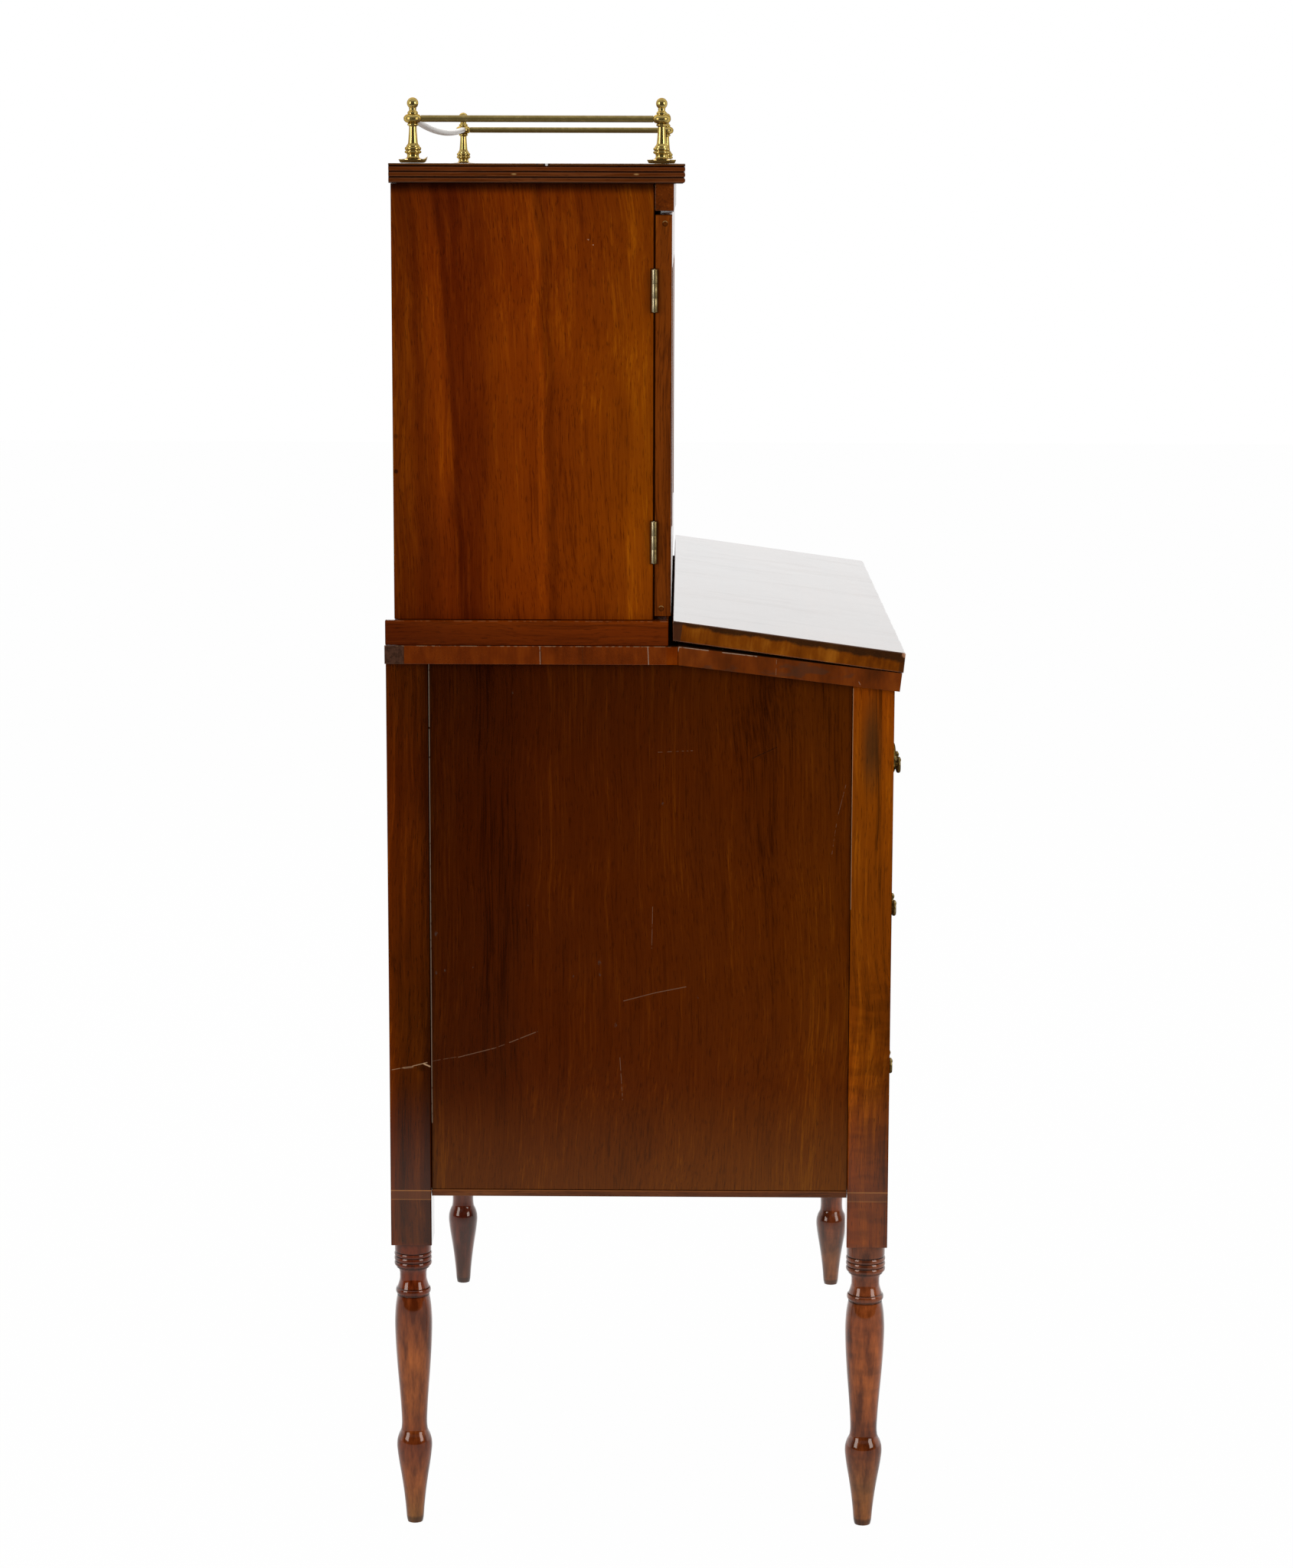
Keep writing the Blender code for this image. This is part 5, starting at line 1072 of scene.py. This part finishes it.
for side, sign in SIDES:
    finish = cabinet_wood(side, 43.0 + sign)
    if side == "left":
        finish.scratch_and_highlight((WALL, 0.0550, 1.2112), (WALL, 0.0488, 1.2045), 0.0008, 0.1, 0.9,
                       (0.42, 0.25, 0.15), 2.0)
        for y, z, reach, tone in ((0.2272, 1.0013, 0.0028, 0.30), (0.2270, 1.0330, 0.0030, 0.60)):
            finish.shade(fade(finish.away((WALL, y, z)), reach, reach * 0.4), tone)
    softened(f"cabinet_side_{side}", f"cabinet_wall_{side}", finish,
             width=0.0005)

cabinet_pine = pine("pine_cabinet_back", "Z", 45.0, 0.75)
seams(cabinet_pine, cabinet_pine.x, (-0.19, 0.0, 0.19))
softened("cabinet_back", "cabinet_back_boards", cabinet_pine)

rail_wood = mahogany("mahogany_rail", "X",
                     [(0.052, 0.0100, 0.001), (0.112, 0.0200, 0.001), (0.190, 0.041, 0.003)],
                     seed=46.0, fibres=0.9, rough=0.22)
softened("cabinet_top_rail", "cabinet_rail", rail_wood)
nest_wood = mahogany("mahogany_nest", "X",
                     [(0.060, 0.016, 0.003), (0.140, 0.044, 0.008), (0.220, 0.085, 0.018)],
                     seed=47.0, rough=0.34, polish=0.15)
softened("pigeonholes", "pigeonhole_nest", nest_wood, width=0.0008)

# ---------------------------------------------------------------------------
# Cabinet doors and their hinges
# Each door is a frame of two stiles and two rails, tenoned and pegged, round a flat panel. Brass
# butt hinges are let into the edges, with their knuckles standing at the cabinet's corner.

DOOR_LOW, DOOR_HIGH, DOOR_FRONT, DOOR_BACK = 0.8703, 1.2314, -0.0218, -0.0064
STILE, RAIL, INNER, OUTER, PEG = 0.045, 0.050, 0.0005, 0.395, 0.0022
DOOR_HINGE, DOOR_PIN_X, DOOR_PIN_Y = (0.038, 0.017, 0.0026), 0.3979, -0.00625


def door_wood(name, grain, seed):
    """Warm mahogany of the door frames."""
    return mahogany(f"mahogany_{name}", grain,
                    [(0.066, 0.0115, 0.001), (0.165, 0.0330, 0.002), (0.260, 0.064, 0.004)],
                    seed=seed, bands=1.2, rough=0.18, polish=0.8)


def between(sign, x0, x1, z0, z1, y0=DOOR_FRONT, y1=DOOR_BACK, ease=0.0010):
    """A board of the door between two distances from the middle of the desk."""
    low, high = sorted((sign * x0, sign * x1))
    return plate((low, y0, z0), (high, y1, z1), ease)


def stile_wood(side, sign, seed):
    """The stiles' wood: pegs with a dark ring and a painted highlight on its upper arc, the tenon's
    end, and painted shade in the narrow gaps at the top, at the back edge and beside the hinges.
    """
    wood = door_wood(f"stiles_{side}", "Z", seed)
    y, z, from_middle = wood.y, wood.z, abs(wood.x)
    # Painted shade along the top, in the gap below the cabinet's top rail.
    wood.shade(fade(z, 1.2299, 1.2311), 0.45)
    for peg_y, peg_z in ((-0.0155, 1.2235), (-0.0130, 0.8775)):
        gap = wood.away((sign * OUTER, peg_y, peg_z))
        wood.shade(fade(gap, PEG * 1.5, PEG * 0.9), 0.62)
        ring = fade(abs(gap - PEG), 0.0005, 0.0001)
        wood.shade(ring, 0.45)
        # A painted highlight on the upper arc of each peg's ring.
        wood.paint(ring * fade(z, peg_z + 0.0004, peg_z + 0.0016, 0.0, 0.6), (0.45, 0.26, 0.09))
    tenon = (z > DOOR_HIGH - 0.043) * ((y > -0.0165) * (y < -0.0118))
    at_edge = fade(from_middle, OUTER - 0.0005, OUTER - 0.0003)
    wood.shade(tenon * at_edge * 0.35, 0.6)
    wood.shade(fade(y, -0.0205, -0.0217) * at_edge * 0.7, 0.45)
    # Painted shade in the narrow gap at the back of the outer edge and beside the hinges; the gap
    # loses its shine.
    hung = fade(from_middle, OUTER - 0.0025, OUTER - 0.0005)
    shut_gap_shade = hung * fade(y, -0.0076, -0.0066)
    wood.shade(shut_gap_shade, 0.08)
    for pin in DOOR_PINS.values():
        wood.shade(fade(abs(z - pin), 0.0205, 0.0195) * fade(y, -0.0110, -0.0095) * hung, 0.45)
    low, high = sorted((sign * INNER, sign * OUTER))
    arrises = wood.edge((low, DOOR_FRONT, DOOR_LOW), (high, DOOR_BACK, DOOR_HIGH), 0.0009)
    wood.dull(calc("MAXIMUM", shut_gap_shade, arrises))
    return wood


for k, (side, sign) in enumerate(SIDES):
    body, slot = f"door_{side}", "mahogany_warm"
    x0, x1, z0, z1 = INNER + STILE, OUTER - STILE, DOOR_LOW + RAIL, DOOR_HIGH - RAIL
    stiles = [between(sign, x1, OUTER, DOOR_LOW, DOOR_HIGH),
              between(sign, INNER, x0, DOOR_LOW, DOOR_HIGH)]
    make_piece(f"door_stiles_{side}", stiles, stile_wood(side, sign, 51.0 + k), body,
               [f"door_{side}_frame"], flat=True)
    rails = [between(sign, x0, x1, *span) for span in ((DOOR_LOW, z0), (z1, DOOR_HIGH))]
    make_piece(f"door_rails_{side}", rails, door_wood(f"rails_{side}", "X", 54.0 + k), body,
               flat=True)
    wood = mahogany(f"mahogany_door_panel_{side}", "Z",
                    [(0.040, 0.008, 0.001), (0.125, 0.028, 0.002), (0.225, 0.062, 0.007)],
                    seed=57.0 + k, bands=1.9, mist=1.2, rough=0.15, polish=1.0,
                    bend=(0.8 * sign, 0.9), relief=0.000004)
    play, strip = 0.0003, 0.0035
    panel = between(sign, x0 + play, x1 - play, z0 + play, z1 - play, DOOR_FRONT + 0.003,
                    DOOR_FRONT + 0.011, 0.0005)
    make_piece(f"door_panel_{side}", [panel], wood, body, [f"door_{side}_panel"], flat=True)
    strips = [between(sign, *span, DOOR_FRONT + 0.0013, DOOR_FRONT + 0.0031, 0.0006) for span in (
        (x0, x0 + strip, z0, z1), (x1 - strip, x1, z0, z1), (x0, x1, z0, z0 + strip),
        (x0, x1, z1 - strip, z1))]
    make_piece(f"door_moulding_{side}", strips, door_wood(f"moulding_{side}", "Z", 60.0 + k), body,
               flat=True)
    inward = (-sign, 0.0, 0.0)
    for level, pin in DOOR_PINS.items():
        for moving, face in ((False, (0.0, 1.0, 0.0)), (True, (0.0, -1.0, 0.0))):
            axes = (np.cross(inward, face), inward, face)
            origin = (sign * DOOR_PIN_X, DOOR_PIN_Y, pin)
            leaves = hinge_pieces(origin, axes, *DOOR_HINGE, moving)
            half, rides, stands_for = ("door", body, []) if moving else (
                "post", "case", [f"door_hinge_{side}_{level}"])
            make_piece(f"{half}_leaf_{side}_{level}", leaves, hinge_brass, rides,
                       stands_for)

# ---------------------------------------------------------------------------
# Cornice
# A mahogany board over the cabinet. A fillet and three reeds, small half-rounds side by side, are
# run along its front and its two ends with a scratchstock. The back edge is left square.

CORNICE_X, CORNICE_FRONT, CORNICE_BACK = 0.403, -0.0333, 0.2311
CORNICE_LOW, CORNICE_HIGH, REED_LOW, REED = 1.25875, 1.2763, 1.2592, 0.0049


def cornice_board():
    """The board as level oblongs along a profile of (height, inset): under the fillet the inset
    of each reed is its depth times one less the sine of the turn across it."""
    turn = np.linspace(0.0, math.pi, 11)
    reeds = [np.stack([REED_LOW + REED * (i + (1 - np.cos(turn)) / 2), 0.0018 * (1 - np.sin(turn))],
                      axis=1) for i in range(3)]
    height, inset = np.concatenate([
        [(CORNICE_LOW, 0.0024), (CORNICE_LOW + 0.0003, 0.0019)], *reeds,
        [(REED_LOW + 3 * REED + 0.0003, 0.0001), (CORNICE_HIGH - 0.0006, 0.0),
         (CORNICE_HIGH - 0.0002, 0.0002), (CORNICE_HIGH, 0.0007)]]).T[:, :, None]
    across = np.array([-1, 1, 1, -1]) * (CORNICE_X - inset)
    ahead = np.where([True, True, False, False], CORNICE_FRONT + inset, CORNICE_BACK)
    return shell(np.stack([across, ahead, height * np.ones(4)], axis=-1))


cornice_wood = mahogany("mahogany_cornice", "Y",
                        [(0.050, 0.0080, 0.001), (0.105, 0.0205, 0.002), (0.160, 0.039, 0.008)],
                        seed=71.0, bands=0.9, streaks=1.2, rough=0.22, polish=0.2)
z = cornice_wood.z
wave = cornice_wood.noise(1.0, 3.0, 0.6, (6.0, 11.0, 0.0)) * 0.0008 - 0.0004
across_reed = abs(calc("FRACT", (z - REED_LOW + wave) / REED) - 0.5)
# Painted shade in the grooves between the reeds.
reed_groove_shade = fade(across_reed, 0.28, 0.44) * (z < CORNICE_HIGH - 0.0018)
cornice_wood.shade(reed_groove_shade, 0.20)
# A painted sheen: the top fillet is made paler and bluer, as light reflected from above.
cornice_wood.shade(fade(z, 1.2743, 1.2750), (0.80, 1.45, 3.0))
cornice_wood.shade(fade(z, 1.2690, 1.2660), (0.80, 0.85, 1.0))
for spot in (0.1192, 0.0102):
    gap = cornice_wood.away((-CORNICE_X, spot, 1.2668), (1.0, 0.35, 1.0))
    cornice_wood.paint(fade(gap, 0.0003, 0.0011, 0.6, 0.0), (0.42, 0.25, 0.09))
# Chips in the fillet, as (y, z, radius, colour).
for spot, level, radius, colour in ((0.0901, 1.2757, 0.0017, (0.62, 0.60, 0.57)),
                                    (0.0922, 1.2753, 0.0012, (0.012, 0.006, 0.004)),
                                    (0.0880, 1.2755, 0.0010, (0.012, 0.006, 0.004)),
                                    (0.0985, 1.2760, 0.0012, (0.020, 0.008, 0.004))):
    gap = cornice_wood.away((-CORNICE_X, spot, level), (1.0, 1.0, 0.55))
    chip = fade(gap, radius, radius * 0.4)
    cornice_wood.paint(chip * 0.85, colour)
    cornice_wood.cut(chip, 6.0)
make_piece("reeded_cornice", [cornice_board()], cornice_wood, "case",
           ["cornice"], flat=True)

# ---------------------------------------------------------------------------
# Gallery
# Four cast and turned brass posts are screwed down through their flanges at the corners. Drawn
# brass rods join their knobs along the ends and the back, where the long rod has bowed.

GALLERY_BASE, KNOB_LINE = 1.2766, 1.3157
GALLERY_X, GALLERY_FRONT, GALLERY_BACK, ROD = 0.375, -0.0120, 0.2109, 0.0030
gallery_brass = old_brass("brass_gallery",
                          [(0.26, 0.165, 0.035), (0.56, 0.405, 0.125), (0.88, 0.70, 0.28)],
                          rough=0.16, grime=0.45, pitting=0.000003, metallic=0.9)
turn = np.linspace(0.21 * math.pi, 0.99 * math.pi, 16)
post_profile = np.concatenate([
    [(0.0000, 0.0108), (0.0002, 0.0115)],
    eased([(0.0004, 0.0118), (0.0020, 0.0126), (0.0028, 0.0130)], 3),
    eased([(0.00315, 0.0129), (0.0032, 0.0122), (0.0034, 0.0102), (0.0038, 0.0075),
           (0.0046, 0.0058), (0.0060, 0.00525), (0.0076, 0.0054), (0.0083, 0.0062)], 4),
    bead(0.0084, 0.0109, 0.0062, 0.00755, 8),
    bead(0.0111, 0.0141, 0.0062, 0.00740, 8),
    eased([(0.0142, 0.00600), (0.0150, 0.00590), (0.0162, 0.00500), (0.0172, 0.00446),
           (0.0230, 0.00390), (0.0290, 0.00350), (0.0320, 0.00340), (0.0326, 0.00370)], 4),
    bead(0.0327, 0.0349, 0.0040, 0.00490, 6),
    eased([(0.0350, 0.0042), (0.03555, 0.0056), (0.0364, 0.0070), (0.0376, 0.0079),
           (0.0388, 0.00820), (0.03895, 0.00805), (0.0391, 0.00805), (0.0393, 0.00827),
           (0.0404, 0.0080), (0.0416, 0.0071), (0.0426, 0.0058), (0.0431, 0.0046)], 4),
    eased([(0.0434, 0.00455), (0.0443, 0.00475), (0.0450, 0.0044), (0.0460, 0.0034),
           (0.0469, 0.00315), (0.0480, 0.0034)], 4),
    np.stack([0.0527 - 0.0051 * np.cos(turn), 0.0051 * np.sin(turn)], axis=1)])
for depth, y in (("back", GALLERY_BACK), ("front", GALLERY_FRONT)):
    for side, sign in SIDES:
        rings = turned(post_profile + (GALLERY_BASE, 0.0), sign * GALLERY_X, y)
        if (depth, side) == ("back", "left"):
            # This flange is bent up towards the front.
            height, radius = post_profile.T
            facing = np.clip(-np.sin(np.arange(72) * (2 * math.pi / 72)), 0.0, 1.0)**14
            reach = np.clip((radius - 0.008) / 0.005, 0.0, 1.0) * (height < 0.004)
            rings[..., 2] += 0.0026 * facing * reach[:, None]**2
        make_piece(f"turned_gallery_post_{depth}_{side}", [shell(rings)], gallery_brass, "case",
                   [f"gallery_post_{depth}_{side}"], crease=50.0)


def rod(start, end, sag=0.0):
    """A round rod: circles square to a path that sags as one less the square of the share from
    its middle."""
    share = np.linspace(0.0, 1.0, 40)[:, None]
    path = np.array(start) + (np.array(end) - start) * share
    path[:, 2:] -= sag * (1 - (2 * share - 1)**2)
    along = np.gradient(path, axis=0)
    along /= np.linalg.norm(along, axis=1)[:, None]
    level = np.cross(along, (0.0, 0.0, 1.0))
    level /= np.linalg.norm(level, axis=1)[:, None]
    rise = np.cross(level, along)
    turn = np.linspace(0.0, 2 * math.pi, 24, endpoint=False)[None, :, None]
    ring = np.cos(turn) * level[:, None] + np.sin(turn) * rise[:, None]
    return shell(path[:, None] + ring * ROD)


rod_look = {"rough": 0.30, "grime": 0.45, "pitting": 0.000002}
rod_brass = old_brass("brass_rods", [(0.20, 0.14, 0.040), (0.33, 0.245, 0.085), (0.54, 0.42, 0.17)],
                      metallic=0.75, **rod_look)
# The back rod's near white tones are a painted reflection of the white surroundings, on brass of
# low metallic.
back_rod_painted_reflection = old_brass("brass_back_rod_painted_reflection",
                      [(0.62, 0.58, 0.52), (0.84, 0.81, 0.78), (0.95, 0.93, 0.91)],
                      metallic=0.35, **rod_look)
for side, x in (("left", -GALLERY_X), ("right", GALLERY_X)):
    make_piece(f"gallery_side_rod_{side}", [rod((x, -0.0045, KNOB_LINE), (x, 0.2034, KNOB_LINE))],
               rod_brass, "case", [f"gallery_rod_{side}"], crease=50.0)
bowed = rod((-0.3675, GALLERY_BACK, KNOB_LINE), (0.3675, GALLERY_BACK, KNOB_LINE), 0.007)
make_piece("gallery_back_rod", [bowed], back_rod_painted_reflection, "case", ["gallery_rod_back"],
           crease=50.0)

# ---------------------------------------------------------------------------
# Floor, lamps and camera
# A plain pale floor and two soft lamps towards the desk's ends. The camera stands where the
# photograph was taken from, square to the desk's left end.

FLOOR = 14.0


def studio_floor():
    """A pale floor, seen as white, that keeps the desk's soft shadow. To glossy rays it glows as a
    painted reflection: not at all far out towards the camera, at half strength from there to the
    desk and at full strength beyond it.
    """
    material = bpy.data.materials.new("studio_floor")
    material.use_nodes = True
    tree = material.node_tree
    tree.nodes.clear()
    paths = tree.nodes.new("ShaderNodeLightPath").outputs
    spot = tree.nodes.new("ShaderNodeTexCoord").outputs["Object"]
    x = Value(node(tree, "SeparateXYZ", [spot]).outputs[0])
    plain = node(tree, "BsdfDiffuse", {"Color": (0.8, 0.8, 0.8, 1.0)}).outputs[0]
    white = node(tree, "Emission", {"Strength": 1.0}).outputs[0]
    seen = node(tree, "MixShader", [0.985, plain, white]).outputs[0]
    glow = fade(x, -2.15, -1.45, 0.0, 0.5) + fade(x, -0.3, 0.6, 0.0, 0.5)
    glow = node(tree, "Emission", {"Strength": glow}).outputs[0]
    first = node(tree, "MixShader", [paths["Is Camera Ray"], plain, seen]).outputs[0]
    last = node(tree, "MixShader", [paths["Is Glossy Ray"], first, glow]).outputs[0]
    node(tree, "OutputMaterial", {"Surface": last})
    mesh = bpy.data.meshes.new("floor")
    corners = ((-FLOOR, -FLOOR), (FLOOR, -FLOOR), (FLOOR, FLOOR), (-FLOOR, FLOOR))
    mesh.from_pydata([(*corner, -0.0002) for corner in corners], [], [(0, 1, 2, 3)])
    mesh.materials.append(material)
    added("floor", mesh)


studio_floor()
world = bpy.data.worlds.new("studio")
bpy.context.scene.world = world
world.use_nodes = True
tree = world.node_tree
tree.nodes.clear()
paths = tree.nodes.new("ShaderNodeLightPath").outputs
way = tree.nodes.new("ShaderNodeTexCoord").outputs["Generated"]
split = node(tree, "SeparateXYZ", [way]).outputs
mirrored = calc("MAXIMUM", fade(Value(split[0]), -0.25, 0.15, 0.004, 1.0),
                fade(Value(split[2]), 0.35, 0.85, 0.0, 0.55))
strength = node(tree, "Mix", {0: paths["Is Glossy Ray"], 2: 0.46, 3: mirrored}).outputs[0]
strength = node(tree, "Mix", {0: paths["Is Camera Ray"], 2: strength, 3: 1.0}).outputs[0]
background = node(tree, "Background", {"Color": opaque((1.0, 1.0, 1.0)), "Strength": strength})
node(tree, "OutputWorld", {"Surface": background.outputs[0]})

AIM = Vector((0.0, 0.0, 0.75))
for name, spot, power, size in (("lamp_back", (-2.2, 2.6, 1.6), 42.0, (1.4, 2.0)),
                                ("lamp_front", (-2.2, -2.6, 1.6), 42.0, (1.4, 2.0)),
                                ("lamp_far", (2.6, 0.6, 2.6), 30.0, (2.0, 2.0))):
    lamp = bpy.data.lights.new(name, "AREA")
    lamp.shape, lamp.energy = "RECTANGLE", power
    lamp.size, lamp.size_y = size
    stand = added(name, lamp)
    stand.location = spot
    stand.rotation_euler = (AIM - Vector(spot)).to_track_quat("-Z", "Y").to_euler()

# Where the camera stood, its focal length in millimetres and its turns in degrees.
CAMERA, FOCAL_LENGTH, TURNS = (-3.6655, -0.0332, 1.2620), 83.02, (0.581, 9.485, 0.137)
yaw, pitch, roll = (math.radians(turn) for turn in TURNS)
forward = Vector((math.cos(pitch) * math.cos(yaw), math.cos(pitch) * math.sin(yaw),
                  -math.sin(pitch)))
right = Vector((math.sin(yaw), -math.cos(yaw), 0.0))
up = right.cross(forward)
across = right * math.cos(roll) + up * math.sin(roll)
upright = up * math.cos(roll) - right * math.sin(roll)
lens = bpy.data.cameras.new("photo_camera")
lens.lens, lens.sensor_width = FOCAL_LENGTH, 36.0
camera = added("photo_camera", lens)
facing = Matrix((across, upright, -forward)).transposed().to_4x4()
camera.matrix_world = Matrix.Translation(CAMERA) @ facing
bpy.context.scene.camera = camera
bpy.context.scene.view_settings.view_transform = "Standard"

bpy.context.view_layer.update()
